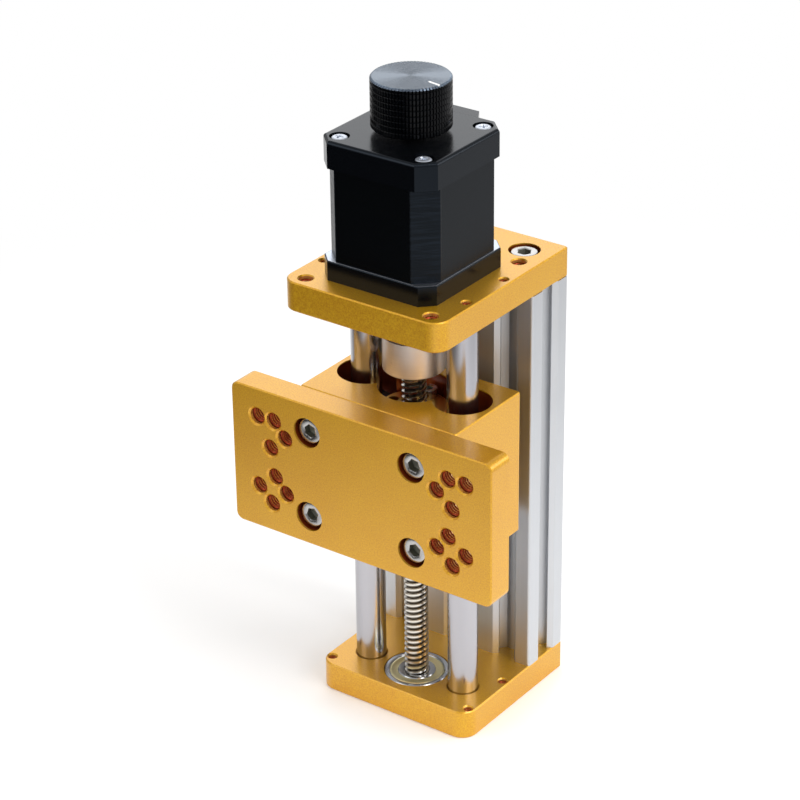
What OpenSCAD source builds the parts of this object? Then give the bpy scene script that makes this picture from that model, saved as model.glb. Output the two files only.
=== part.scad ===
// Manual and motor-driven Z-axis module: a carriage with a tool plate climbs a lead screw
// between two end plates, guided by two round rods and backed by a V-slot rail.
// The origin is on the screw's axis, at the base plate's underside.
// +X is to the right of someone who faces the tool plate, -Y is the front and +Z is up.

/* [End plates] */
// Thickness of the base plate
base_t = 10; // [10:0.5:16]
// Thickness of the top plate
top_t = 10; // [10:0.5:16]
// From the screw's axis to the front edge of the base plate
base_nose = 14.2; // [14:0.2:30]
// From the screw's axis to the front edge of the top plate
top_nose = 28.4; // [27.6:0.2:40]
// Radius of the front upright corners of both plates
nose_r = 5.5; // [2:0.5:6]
// Radius of the rear upright corners of both plates
tail_r = 1; // [1:0.25:3]
// Bevel round the rims of the machined plates and the block
edge_bevel = 0.4; // [0.1:0.05:0.8]

/* [Rail] */
// Number of cells of the V-slot extrusion, side by side
rail_cells = 3; // [2:1:3]
// Depth of the rail from front to back
rail_depth = 20; // [19:0.5:24]
// Length of the rail between the end plates
rail_len = 135.5; // [125:0.5:300]
// From the screw's axis to the rail's front face
rail_offset = 22; // [19:0.5:30]
// Width of a slot at the rail's surface
slot_mouth = 9.16; // [8.8:0.02:9.5]
// Width of a slot's straight neck
slot_neck = 6.2; // [5.8:0.1:6.4]
// Thickness of the lips beside a slot
slot_lip = 1.8; // [1.7:0.05:2]
// Width of the chamber behind the lips
slot_room = 11; // [10.4:0.1:11.4]
// Depth of a slot
slot_depth = 6.1; // [5.8:0.05:6.3]
// Thickness of the diagonal webs
rail_web = 1.5; // [1.2:0.05:1.6]
// Diameter of the screw port in the middle of each cell
rail_port_d = 4.2; // [4:0.1:4.6]
// Radius of the rail's outer edges
rail_edge_r = 1; // [0.5:0.1:1.5]
// Length of the screws that hold the rail, under the head
rail_screw_len = 16; // [14:1:30]

/* [Guide rods] */
// Diameter of the guide rods
rod_d = 10; // [10:0.5:10]
// Gap between each guide rod and the base bearing
rod_gap = 2.6; // [2.2:0.1:5]
// Depth of the rod sockets in both end plates
rod_socket = 7; // [5:0.5:8]
// Width of the bevel at the mouth of each rod socket
rod_mouth = 0.5; // [0.2:0.1:0.8]

/* [Lead screw] */
// Outer diameter of the lead screw
screw_d = 8; // [8:0.5:8]
// Gap from the lead screw's end to the motor shaft inside the coupling
shaft_gap = 0.5; // [0.2:0.1:1]
// How far the lead screw reaches below the base bearing
screw_tail = 1; // [0.5:0.1:1.2]
// Diameter of the relief under the base bearing
tail_relief_d = 12; // [10:0.5:16]
// Depth of that relief
tail_relief_h = 1.5; // [1.4:0.1:2]

/* [Base bearing] */
// Outer diameter of the base bearing
base_brg_od = 22; // [21.5:0.1:23]
// Width of the base bearing
base_brg_w = 7; // [6.5:0.1:7]
// Diameter of the base bearing's balls
base_ball_d = 3.97; // [3.6:0.01:4]
// Number of balls in the base bearing
base_balls = 7; // [6:1:7]
// Thickness of the shields
shield_t = 0.3; // [0.2:0.05:0.4]

/* [Carriage block] */
// Height of the block and of the tool plate
block_h = 50; // [48:1:80]
// From the screw's axis to the block's front face
block_nose = 20; // [18:0.5:26]
// Gap between the block and the rail
block_gap = 6.3; // [2:0.1:7]
// Gap between the block and the coupling as the module stands
rest_drop = 6.6; // [2:0.2:50]
// Wall between the linear bearings and the sides of the block
block_wall = 1.9; // [1.5:0.1:6]
// Bore for the linear bearings
bushing_od = 19; // [18.6:0.1:19.4]
// Length of the linear bearings
bushing_len = 29; // [24:0.5:32]
// Radius of the pocket round the lead nut
pocket_r = 11.7; // [11.3:0.1:12.4]
// Wall between the linear bearings' balls and the back of their shell
bushing_wall = 1.1; // [0.9:0.05:1.3]
// Diameter of the linear bearings' balls
bushing_ball_d = 2; // [1.6:0.1:2]
// Balls shown in each loaded row
bushing_row = 6; // [3:1:6]
// Loaded rows round each rod
bushing_rows = 4; // [3:1:4]
// Thickness of the linear bearings' end seals
seal_t = 1.5; // [1:0.1:2]
// Wall of the linear bearings' resin cage
cage_t = 1.8; // [1.6:0.1:2]

/* [Lead nut] */
// Diameter of the nut's flange
nut_flange_d = 22; // [21:0.2:22.4]
// Thickness of the nut's flange
nut_flange_t = 3.5; // [3:0.1:5]
// Diameter of the nut's body
nut_body_d = 10.2; // [10:0.1:11]
// Length of the nut's body under the flange
nut_body_len = 10; // [6:0.5:20]
// Height of the collar on top of the flange
nut_collar_h = 1.5; // [0.5:0.1:3]
// Diameter of the circle on which the nut's four holes lie
nut_pcd = 16; // [15.8:0.1:16.2]
// Diameter of the nut's holes
nut_hole_d = 3.4; // [3.2:0.1:3.6]
// Length of the nut's screws under the head
nut_screw_len = 10; // [8:1:14]

/* [Tool plate] */
// Width of the tool plate
tool_w = 100; // [94:1:140]
// Thickness of the tool plate
tool_t = 10; // [8:0.5:14]
// Radius of the tool plate's corners
tool_r = 2.7; // [1:0.1:6]
// From the middle of the plate to each of its screws, sideways
tool_screw_x = 20; // [17:0.5:24]
// From the middle of the plate to each of its screws, up and down
tool_screw_z = 15; // [10:0.5:17]
// Diameter of the threaded accessory holes, midway up the thread
tool_tap_d = 5.6; // [4.5:0.1:6]
// Diameter of the countersink at the accessory holes
tool_sink_d = 6.8; // [6.6:0.1:7.4]
// Diameter of the counterbores for the tool plate's screws
tool_cbore_d = 10.2; // [9.5:0.1:12]
// How far the screw heads lie below the tool plate's face
tool_recess = 1.6; // [0.5:0.1:2]
// Length of the tool plate's screws under the head
tool_screw_len = 12; // [10:0.5:12]

/* [Motor] */
// Width of the motor's end bells
motor_w = 42.3; // [42:0.1:42.6]
// Corner chamfer of the front end bell
bell_chamfer = 4.1; // [3.5:0.1:5]
// Corner chamfer of the rear end bell
cap_chamfer = 5; // [3.5:0.1:5.2]
// Height of the front end bell
bell_h = 6.6; // [6.4:0.1:9]
// Height of the laminated body
stack_h = 30.5; // [26:0.5:60]
// Height of the rear end bell
cap_h = 8.9; // [8.8:0.1:12]
// Width of the laminated body
stack_w = 41.1; // [40.5:0.1:41.5]
// Corner chamfer of the laminated body
stack_chamfer = 6.4; // [5:0.1:6.8]
// Distance between the motor's screws
motor_screw_pitch = 31; // [30.8:0.1:31.2]
// Diameter of the motor's pilot
pilot_d = 22; // [21:0.5:22]
// Height of the motor's pilot
pilot_h = 2; // [1:0.1:2.5]
// Diameter of the motor's shaft
shaft_d = 5; // [4.5:0.5:5]
// How far the shaft stands out of the front end bell
shaft_out = 22; // [20:0.5:24]
// Diameter of the rotor
rotor_d = 26; // [24:0.2:26.4]
// Number of teeth on each rotor cup
rotor_teeth = 50; // [40:1:50]
// Depth of the rotor's teeth
rotor_tooth_h = 0.8; // [0.5:0.1:1]
// Number of stator poles
stator_poles = 8; // [8:1:8]
// Width of a stator pole's stem
pole_w = 5; // [4:0.1:5.4]
// Air gap between rotor and stator
air_gap = 0.1; // [0.08:0.01:0.3]
// Thickness of the winding round each pole
coil_t = 1.6; // [1:0.1:1.7]
// Outer diameter of the motor's bearings
motor_brg_od = 13; // [12.6:0.1:13.4]
// Width of the motor's bearings
motor_brg_w = 4; // [3:0.1:4.2]
// Diameter of the balls in the motor's bearings
motor_ball_d = 2; // [1.8:0.1:2.1]
// Number of balls in each of the motor's bearings
motor_balls = 8; // [6:1:9]
// Width of the connector's boss on the rear end bell
boss_w = 20.8; // [18:0.2:24]
// How far that boss stands out
boss_out = 3.5; // [3:0.1:5]
// Radius of the rounded rim of the rear end bell
cap_rim_r = 1.2; // [0.4:0.1:1.6]
// Radius of the rounded rim of the front end bell
bell_rim_r = 0.5; // [0.2:0.1:0.8]
// Number of pins in the connector
connector_pins_n = 6; // [4:1:6]

/* [Coupling] */
// Outer diameter of the coupling
coupling_d = 20; // [18:0.2:20.4]
// Length of the coupling
coupling_len = 25; // [22:0.5:30]
// Gap between the coupling and the motor's pilot
coupling_gap = 6.5; // [1:0.5:8]
// Width of the clamping slits
clamp_slit = 1.2; // [0.8:0.1:1.6]
// From the coupling's axis to its clamp screws
clamp_x = 6.6; // [6.4:0.1:7]
// Turn of the coupling's clamp screws about the screw's axis, in degrees
coupling_turn = 45; // [0:5:355]

/* [Knob] */
// Diameter of the hand knob
knob_d = 25; // [20:0.5:34]
// Height of the hand knob
knob_h = 16; // [10:0.5:24]
// Gap between the knob and the motor
knob_gap = 1.8; // [0.5:0.1:4]
// Bevel at the knob's rims
knob_bevel = 0.5; // [0.3:0.1:2]
// Thickness of the knob's closed end
knob_roof = 2.5; // [1.5:0.1:6]
// Number of ridges of the knob's straight knurling
knurl_count = 54; // [24:1:60]
// Depth of the knurling
knurl_depth = 0.45; // [0.2:0.05:0.6]

/* [Fits] */
// Radial gap of pieces that slide or run on each other
run_gap = 0.05; // [0.02:0.01:0.1]
// Radial gap of pieces that are pushed or screwed together
seat_gap = 0.03; // [0.01:0.01:0.05]

/* [Hidden] */
$fn = 64;

// Small round things need fewer segments in the preview mesh
ball_fn = 24;
// Overshoot of a cut past the face it opens
cut = 1;
// Sizes of the two socket screws and of the case screws: shank, head, head height, socket
m5 = [5, 8.5, 5, 4];
m3 = [3, 5.5, 3, 2.5];
m3_pan = [3, 5.4, 2.1, 0];
// Depth of a hexagon socket as a share of the head's height
socket_share = 0.5;
// Clearance holes are this much wider than their screws
clear_d = 0.4;
// Counterbores are this much wider than their screw heads
head_room = 1.8;
// Bevel on the ends of rods, screws and shafts
end_bevel = 0.5;
// How far the heads of the rail's screws lie below the plates' faces
rail_head_sink = 0.5;
// Head seats of the motor's mounting screws, above the top plate's underside
mount_seat = 3.4;
// Head seats of the motor's case screws, below the rear end bell's top
case_seat = 2.3;
// Head heights of the mounting screws and of the coupling's clamp screws
mount_head_h = 2.8;
clamp_head_h = 2.6;
// Room over the stator's coils
coil_gap = 0.6;
// How deep the mounting screws and the case screws reach into the front end bell
mount_grip = 4.5;
case_grip = 1.5;

// Heights of the main faces
rail_z = base_t;
top_z = rail_z + rail_len;
motor_z = top_z + top_t;
stack_z = motor_z + bell_h;
cap_z = stack_z + stack_h;
motor_top = cap_z + cap_h;
tool_face = -block_nose - tool_t;
block_back = rail_offset - block_gap;
rail_back = rail_offset + rail_depth;

// The rods clear the base bearing, and the block's width round its bearings is that of
// both end plates and of the rail
rod_x = base_brg_od / 2 + rod_gap + rod_d / 2;
plate_w = 2 * (rod_x + bushing_od / 2 + block_wall);
rail_w = plate_w;
rail_pitch = rail_w / rail_cells;

// Shaft and coupling: the shaft stops just above the lead screw's end
shaft_tip = motor_z - shaft_out;
screw_tip = shaft_tip - shaft_gap;
coupling_top = motor_z - pilot_h - coupling_gap;
coupling_z = coupling_top - coupling_len;

// The block hangs under the coupling, with the linear bearings in its middle and the nut's
// flange on their ends
block_z = coupling_z - rest_drop - block_h;
block_mid = block_z + block_h / 2;
bushing_z = block_mid - bushing_len / 2;
pocket_z = bushing_z + bushing_len;
nut_top = pocket_z + nut_flange_t;

// Base bearing, set flush with the base plate's top
base_brg_z = base_t - base_brg_w;
base_brg = [screw_d, base_brg_od, base_brg_w, base_ball_d];

// Motor bearings
motor_brg = [shaft_d, motor_brg_od, motor_brg_w, motor_ball_d];
front_brg_z = motor_z + 1;
rear_brg_z = cap_z + 1.6;
washer_t = 0.3;
coil_over = 1.8;
coil_in = rotor_d / 2 + 1.9;
coil_out = coil_in + 3.2;
coil_room = coil_out + 0.8;
magnet_h = 3;
rotor_margin = 1.5;

// Knob, on the shaft's rear end
knob_z = motor_top + knob_gap;
knob_top = knob_z + knob_h;
shaft_top = knob_top - knob_roof;

// Accessory holes on the right half of the tool plate, from the middle of its face.
// They repeat on the left half.
tool_holes = [[40, 15], [33.5, 15], [29.2, 10], [35, 5], [33.5, -5], [29.2, -10], [40, -10], [35, -15]];
// Small threaded holes beside the rods: from the sides of the top plate and of the base
// plate, and forward and back of the screw's axis
side_hole_edge = 3;
base_hole_edge = 2.4;
side_hole_y = 10;
side_tap_d = 2.5;
side_sink_d = 3.7;
// Pitch and tap drill of the second, larger motor pattern on the top plate
big_motor_pitch = 47.14;
big_motor_tap_d = 4.2;
big_motor_sink_d = 5.4;

// General shapes

// Section of a bar from a to b, h high, with beveled edges
function bar_section(a, b, h, c) =
    [[a + c, 0], [b - c, 0], [b, c], [b, h - c], [b - c, h], [a + c, h], [a, h - c], [a, c]];

// Upright post of radius r with beveled rims
module post(r, h, c) {
    rotate_extrude()
        polygon([[0, 0], [r - c, 0], [r, c], [r, h - c], [r - c, h], [0, h]]);
}

// Plate over x and y, h high, with round upright corners and a bevel along its rims
module beveled_plate(x, y, h, r_front, r_back, c) {
    middle = (y[0] + y[1]) / 2;
    translate([0, y[1] - r_back, 0])
        rotate([90, 0, 0])
            linear_extrude(y[1] - r_back - y[0] - r_front)
                polygon(bar_section(x[0], x[1], h, c));
    for (end = [[y[0], r_front, 1], [y[1], r_back, -1]]) {
        inner = min(end[0], middle);
        outer = max(end[0], middle);
        half = end[2] > 0
            ? [[outer, 0], [outer, h], [inner + c, h], [inner, h - c], [inner, c], [inner + c, 0]]
            : [[inner, 0], [outer - c, 0], [outer, c], [outer, h - c], [outer - c, h], [inner, h]];
        translate([x[0] + end[1], 0, 0])
            rotate([90, 0, 90])
                linear_extrude(x[1] - x[0] - 2 * end[1])
                    polygon(half);
        for (corner = [x[0] + end[1], x[1] - end[1]])
            translate([corner, end[0] + end[2] * end[1], 0])
                post(end[1], h, c);
    }
}

// Ring from radius r_in to r_out
module ring(r_in, r_out, h) {
    rotate_extrude()
        translate([r_in, 0])
            square([r_out - r_in, h]);
}

// Cutter for a threaded hole that opens at z = 0 and goes down, with a countersink
module tapped_hole(d, depth, sink_d) {
    sink = (sink_d - d) / 2;
    translate([0, 0, -depth])
        cylinder(d = d, h = depth + cut);
    translate([0, 0, -sink])
        cylinder(d1 = d, d2 = sink_d + 2 * cut, h = sink + cut);
}

// Cutter for a socket screw whose head seat is at z = 0 and whose shank points down
module counterbore(size, depth, through) {
    cylinder(d = size[1] + head_room, h = depth + cut);
    translate([0, 0, -through])
        cylinder(d = size[0] + clear_d, h = through + cut);
}

// Socket screw with its head seat at z = 0 and its shank pointing down
module socket_screw(size, len) {
    difference() {
        union() {
            post(size[1] / 2, size[2], 0.4);
            translate([0, 0, -len])
                cylinder(d = size[0], h = len + 0.5);
        }
        translate([0, 0, size[2] * (1 - socket_share)])
            cylinder(d = size[3] / cos(30), h = size[2], $fn = 6);
    }
}

// Pan head screw with a cross recess
module pan_screw(size, len) {
    recess_w = 0.8;
    recess_l = 3;
    recess_h = 1.2;
    difference() {
        union() {
            post(size[1] / 2, size[2], 0.5);
            translate([0, 0, -len])
                cylinder(d = size[0], h = len + 0.5);
        }
        for (turn = [0, 90])
            rotate(turn)
                translate([-recess_l / 2, -recess_w / 2, size[2] - recess_h])
                    cube([recess_l, recess_w, recess_h + cut]);
    }
}

// Ball bearings: b = [bore, outer diameter, width, ball diameter], standing on z = 0

function ball_circle(b) = (b[0] + b[1]) / 4;
function groove_r(b) = b[3] / 2 + run_gap;
function shoulder(b) = b[3] * 0.3;

module bearing_outer(b) {
    shield_seat = 0.5;
    difference() {
        ring(ball_circle(b) + shoulder(b), b[1] / 2 - seat_gap, b[2]);
        translate([0, 0, b[2] / 2])
            rotate_extrude()
                translate([ball_circle(b), 0])
                    circle(groove_r(b));
        for (z = [-cut, b[2] - shield_seat])
            translate([0, 0, z])
                cylinder(r = ball_circle(b) + shoulder(b) + 0.4, h = shield_seat + cut);
    }
}

module bearing_inner(b) {
    difference() {
        ring(b[0] / 2 + seat_gap, ball_circle(b) - shoulder(b), b[2]);
        translate([0, 0, b[2] / 2])
            rotate_extrude()
                translate([ball_circle(b), 0])
                    circle(groove_r(b));
    }
}

module bearing_balls(b, count) {
    for (i = [0 : count - 1])
        rotate(i * 360 / count)
            translate([ball_circle(b), 0, b[2] / 2])
                sphere(d = b[3], $fn = ball_fn);
}

// Both shields of a bearing, each seated in the outer ring
module bearing_shields(b) {
    inset = 0.1;
    for (z = [inset, b[2] - inset - shield_t])
        translate([0, 0, z])
            ring(ball_circle(b) - shoulder(b) + 0.3,
                 ball_circle(b) + shoulder(b) + 0.4 - seat_gap, shield_t);
}

// End plates

// Places a child at the four signs of x and y
module four(x, y) {
    for (sx = [-1, 1], sy = [-1, 1])
        translate([sx * x, sy * y, 0])
            children();
}

// Places a child at the outer cells of the rail, on the ports' axes
module at_ports() {
    for (side = [-1, 1])
        translate([side * (rail_w - rail_pitch) / 2, rail_offset + rail_depth / 2, 0])
            children();
}

// Cutter for a blind rod socket that opens at z = 0 and goes down
module rod_socket_cut() {
    for (side = [-1, 1])
        translate([side * rod_x, 0, 0])
            tapped_hole(rod_d + 2 * seat_gap, rod_socket, rod_d + 2 * rod_mouth);
}

module base_plate() {
    half = plate_w / 2;
    color("goldenrod")
    difference() {
        beveled_plate([-half, half], [-base_nose, rail_back], base_t, nose_r, tail_r, edge_bevel);
        translate([0, 0, base_brg_z])
            cylinder(d = base_brg_od, h = base_brg_w + cut);
        translate([0, 0, base_brg_z - tail_relief_h])
            cylinder(d = tail_relief_d, h = base_t);
        translate([0, 0, base_t])
            rod_socket_cut();
        translate([0, 0, base_t])
            four(plate_w / 2 - base_hole_edge, side_hole_y)
                tapped_hole(side_tap_d, base_t + cut, side_sink_d);
        at_ports()
            translate([0, 0, m5[2] + rail_head_sink])
                rotate([180, 0, 0])
                    counterbore(m5, m5[2] + rail_head_sink, base_t);
    }
}

module top_plate() {
    half = plate_w / 2;
    color("goldenrod")
    difference() {
        translate([0, 0, top_z])
            beveled_plate([-half, half], [-top_nose, rail_back], top_t, nose_r, tail_r, edge_bevel);
        translate([0, 0, top_z - cut])
            cylinder(d = pilot_d + 2 * seat_gap, h = top_t + 2 * cut);
        translate([0, 0, top_z])
            mirror([0, 0, 1])
                rod_socket_cut();
        translate([0, 0, motor_z]) {
            four(plate_w / 2 - side_hole_edge, side_hole_y)
                tapped_hole(side_tap_d, top_t + cut, side_sink_d);
            four(big_motor_pitch / 2, big_motor_pitch / 2)
                tapped_hole(big_motor_tap_d, top_t + cut, big_motor_sink_d);
        }
        translate([0, 0, top_z + mount_seat])
            four(motor_screw_pitch / 2, motor_screw_pitch / 2)
                rotate([180, 0, 0])
                    counterbore([m3[0], m3[1] - 1, m3[2]], mount_seat, top_t);
        at_ports()
            translate([0, 0, motor_z - m5[2] - rail_head_sink])
                counterbore(m5, m5[2] + rail_head_sink, top_t);
    }
}

// Rail

// One slot of the rail as a cutter in the plane, opening at y = 0 and going up. The webs
// beside it meet at the cell's middle, which lies at the height half.
module slot_shape(half) {
    neck_y = (slot_mouth - slot_neck) / 2;
    web_line = half - rail_web / sqrt(2);
    room_y = web_line - slot_room / 2;
    floor_half = web_line - slot_depth;
    right = [[slot_mouth / 2 + cut, -cut], [slot_neck / 2, neck_y], [slot_neck / 2, slot_lip],
             [slot_room / 2, slot_lip], [slot_room / 2, room_y], [floor_half, slot_depth]];
    left = [for (i = [len(right) - 1 : -1 : 0]) [-right[i][0], right[i][1]]];
    polygon(concat(right, left));
}

// Closed chamber between two cells, as a cutter centred on their common side
module middle_chamber() {
    reach = slot_depth;
    peak = rail_pitch / 2 - rail_web / sqrt(2);
    floor_half = peak - reach;
    intersection() {
        polygon([[-reach, -floor_half], [0, -peak], [reach, -floor_half],
                 [reach, floor_half], [0, peak], [-reach, floor_half]]);
        square([2 * reach, rail_depth - 2 * slot_lip], center = true);
    }
}

module rail_shape() {
    half_w = rail_w / 2;
    half_d = rail_depth / 2;
    difference() {
        union() {
            square([rail_w - 2 * rail_edge_r, rail_depth], center = true);
            square([rail_w, rail_depth - 2 * rail_edge_r], center = true);
            for (sx = [-1, 1], sy = [-1, 1])
                translate([sx * (half_w - rail_edge_r), sy * (half_d - rail_edge_r)])
                    circle(rail_edge_r);
        }
        for (i = [0 : rail_cells - 1])
            translate([(i - (rail_cells - 1) / 2) * rail_pitch, 0]) {
                circle(d = rail_port_d);
                for (turn = [0, 180])
                    rotate(turn)
                        translate([0, -half_d])
                            slot_shape(half_d);
            }
        for (turn = [-90, 90])
            rotate(turn)
                translate([0, -half_w])
                    slot_shape(rail_pitch / 2);
        for (i = [1 : rail_cells - 1])
            translate([(i - rail_cells / 2) * rail_pitch, 0])
                middle_chamber();
    }
}

module back_rail() {
    thread_depth = rail_screw_len;
    color("silver")
    difference() {
        translate([0, rail_offset + rail_depth / 2, rail_z])
            linear_extrude(rail_len)
                rail_shape();
        at_ports()
            for (z = [rail_z - cut, top_z - thread_depth])
                translate([0, 0, z])
                    cylinder(d = m5[0] + 2 * seat_gap, h = thread_depth + cut);
    }
}

module rail_screws_base() {
    color("lightgray")
    at_ports()
        translate([0, 0, m5[2] + rail_head_sink])
            rotate([180, 0, 0])
                socket_screw(m5, rail_screw_len);
}

module rail_screws_top() {
    color("lightgray")
    at_ports()
        translate([0, 0, motor_z - m5[2] - rail_head_sink])
            socket_screw(m5, rail_screw_len);
}

// Guide rods

module guide_rod(side) {
    color("gainsboro")
    translate([side * rod_x, 0, base_t - rod_socket])
        post(rod_d / 2, rail_len + 2 * rod_socket, end_bevel);
}

module guide_rod_left() {
    guide_rod(-1);
}

module guide_rod_right() {
    guide_rod(1);
}

// Base bearing

module base_bearing_outer() {
    color("lightsteelblue")
    translate([0, 0, base_brg_z])
        bearing_outer(base_brg);
}

module base_bearing_inner() {
    color("lightsteelblue")
    translate([0, 0, base_brg_z])
        bearing_inner(base_brg);
}

module base_bearing_balls() {
    color("white")
    translate([0, 0, base_brg_z])
        bearing_balls(base_brg, base_balls);
}

module base_bearing_cage() {
    cage_h = base_ball_d + 0.8;
    cage_half = 0.4;
    color("darkgray")
    translate([0, 0, base_brg_z])
    difference() {
        translate([0, 0, (base_brg_w - cage_h) / 2])
            ring(ball_circle(base_brg) - cage_half, ball_circle(base_brg) + cage_half, cage_h);
        for (i = [0 : base_balls - 1])
            rotate(i * 360 / base_balls)
                translate([ball_circle(base_brg) - cut, 0, base_brg_w / 2])
                    rotate([0, 90, 0])
                        cylinder(d = base_ball_d + 2 * run_gap, h = 2 * cut);
    }
}

module base_bearing_shields() {
    color("darkkhaki")
    translate([0, 0, base_brg_z])
        bearing_shields(base_brg);
}

// Carriage

// Places a child at the four screws of the tool plate, pointing out of its face
module at_tool_screws() {
    for (sx = [-1, 1], sz = [-1, 1])
        translate([sx * tool_screw_x, 0, block_mid + sz * tool_screw_z])
            rotate([90, 0, 0])
                children();
}

module carriage_block() {
    half = plate_w / 2;
    corner_r = 1;
    grip = tool_screw_len - tool_t + tool_recess + m5[2];
    color("orange")
    difference() {
        translate([0, 0, block_z])
            beveled_plate([-half, half], [-block_nose, block_back], block_h,
                          corner_r, corner_r, edge_bevel);
        for (side = [-1, 1])
            translate([side * rod_x, 0, block_z - cut])
                cylinder(d = bushing_od, h = block_h + 2 * cut);
        translate([0, 0, pocket_z])
            cylinder(r = pocket_r, h = block_h);
        translate([0, 0, block_z - cut])
            cylinder(d = nut_body_d + 2 * seat_gap, h = block_h);
        for (side = [-1, 1])
            translate([0, side * nut_pcd / 2, pocket_z])
                tapped_hole(m3[0] + 2 * seat_gap, nut_screw_len, m3[0] + 4 * seat_gap);
        at_tool_screws()
            translate([0, 0, block_nose - grip - 0.5])
                cylinder(d = m5[0] + 2 * seat_gap, h = grip + 0.5 + cut);
    }
}

module tool_plate() {
    half = tool_w / 2;
    seat = tool_recess + m5[2];
    color("orange")
    difference() {
        translate([0, -block_nose, block_z])
            rotate([90, 0, 0])
                beveled_plate([-half, half], [0, block_h], tool_t, tool_r, tool_r, edge_bevel);
        at_tool_screws()
            translate([0, 0, -tool_face - seat]) {
                cylinder(d = tool_cbore_d, h = seat + cut);
                translate([0, 0, -tool_t])
                    cylinder(d = m5[0] + clear_d, h = tool_t + cut);
            }
        for (side = [-1, 1], hole = tool_holes)
            translate([side * hole[0], tool_face, block_mid + hole[1]])
                rotate([90, 0, 0])
                    tapped_hole(tool_tap_d, tool_t + cut, tool_sink_d);
    }
}

module tool_plate_screws() {
    color("lightgray")
    at_tool_screws()
        translate([0, 0, -tool_face - tool_recess - m5[2]])
            socket_screw(m5, tool_screw_len);
}

// Linear bearings: a steel shell, a resin cage with rows of balls, and a seal at each end

bushing_shell_in = bushing_od / 2 - bushing_wall;
ball_row_r = rod_d / 2 + run_gap + bushing_ball_d / 2;

module linear_bearing(side) {
    groove_w = 1.3;
    groove_h = 0.5;
    groove_pitch = 22;
    color("gainsboro")
    translate([side * rod_x, 0, bushing_z])
    difference() {
        ring(bushing_shell_in, bushing_od / 2 - seat_gap, bushing_len);
        for (end = [-1, 1])
            translate([0, 0, (bushing_len + end * groove_pitch - groove_w) / 2])
                ring(bushing_od / 2 - groove_h, bushing_od, groove_w);
    }
}

module linear_bearing_left() {
    linear_bearing(-1);
}

module linear_bearing_right() {
    linear_bearing(1);
}

// Places the balls of one linear bearing, each scaled by a diameter
module bushing_ball_rows(d) {
    span = bushing_len - 2 * seal_t - 3 * bushing_ball_d;
    for (i = [0 : bushing_rows - 1], j = [0 : bushing_row - 1])
        rotate((i + 0.5) * 360 / bushing_rows)
            translate([ball_row_r, 0, (bushing_len - span) / 2 + span * j / (bushing_row - 1)])
                sphere(d = d, $fn = ball_fn);
}

module linear_bearing_cages() {
    window_l = bushing_len - 2 * seal_t - 1.5 * bushing_ball_d;
    color("dimgray")
    for (side = [-1, 1])
        translate([side * rod_x, 0, bushing_z])
        difference() {
            translate([0, 0, seal_t])
                ring(bushing_shell_in - seat_gap - cage_t, bushing_shell_in - seat_gap,
                     bushing_len - 2 * seal_t);
            for (i = [0 : bushing_rows - 1])
                rotate((i + 0.5) * 360 / bushing_rows)
                    translate([rod_d / 2, -bushing_ball_d / 2 - run_gap, (bushing_len - window_l) / 2])
                        cube([ball_row_r + bushing_ball_d / 2 + run_gap - rod_d / 2,
                              bushing_ball_d + 2 * run_gap, window_l]);
        }
}

module linear_bearing_balls() {
    color("white")
    for (side = [-1, 1])
        translate([side * rod_x, 0, bushing_z])
            bushing_ball_rows(bushing_ball_d);
}

module linear_bearing_seals() {
    color("black")
    for (side = [-1, 1], z = [0, bushing_len - seal_t])
        translate([side * rod_x, 0, bushing_z + z])
            ring(rod_d / 2 + run_gap, bushing_shell_in - seat_gap, seal_t);
}

// Lead nut and lead screw

module lead_nut() {
    color("gold")
    difference() {
        union() {
            translate([0, 0, pocket_z])
                post(nut_flange_d / 2, nut_flange_t, 0.3);
            translate([0, 0, pocket_z - nut_body_len])
                cylinder(d = nut_body_d, h = nut_body_len + nut_flange_t + nut_collar_h);
        }
        translate([0, 0, pocket_z - nut_body_len - cut])
            cylinder(d = screw_d + 2 * run_gap, h = block_h);
        for (turn = [0 : 90 : 270])
            rotate(turn)
                translate([nut_pcd / 2, 0, pocket_z - cut])
                    cylinder(d = nut_hole_d, h = nut_flange_t + 2 * cut);
    }
}

module lead_nut_screws() {
    color("lightgray")
    for (side = [-1, 1])
        translate([0, side * nut_pcd / 2, nut_top])
            socket_screw(m3, nut_screw_len);
}

module lead_screw() {
    color("silver")
    translate([0, 0, base_brg_z - screw_tail])
        post(screw_d / 2, screw_tip - base_brg_z + screw_tail, end_bevel);
}

// Coupling: two clamps in one piece, each with a slit and a cross screw

clamp_edge = 5;
clamp_seat = 2.6;
clamp_screw_len = 8;

// Places a child at both clamp screws, pointing out of the head's pocket
module at_clamps() {
    for (z = [coupling_z + clamp_edge, coupling_top - clamp_edge])
        rotate(180 + coupling_turn)
            translate([clamp_x, 0, z])
                rotate([90, 0, 0])
                    children();
}

module coupling() {
    color("silver")
    difference() {
        translate([0, 0, coupling_z])
            post(coupling_d / 2, coupling_len, 0.5);
        translate([0, 0, coupling_z - cut])
            cylinder(d = screw_d + 2 * seat_gap, h = screw_tip - coupling_z + cut + shaft_gap / 2);
        translate([0, 0, shaft_tip - shaft_gap])
            cylinder(d = shaft_d + 2 * seat_gap, h = coupling_len);
        rotate(180 + coupling_turn)
            translate([0, -clamp_slit / 2, coupling_z - cut])
                cube([coupling_d, clamp_slit, coupling_len + 2 * cut]);
        rotate(180 + coupling_turn)
            translate([0, -coupling_d, coupling_z + coupling_len / 2 - clamp_slit / 2])
                cube([coupling_d, 2 * coupling_d, clamp_slit]);
        at_clamps() {
            translate([0, 0, clamp_seat])
                cylinder(d = m3[1] + 0.6, h = coupling_d);
            translate([0, 0, clamp_seat - clamp_screw_len - 0.5])
                cylinder(d = m3[0] + 2 * seat_gap, h = clamp_screw_len + cut);
        }
    }
}

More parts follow.
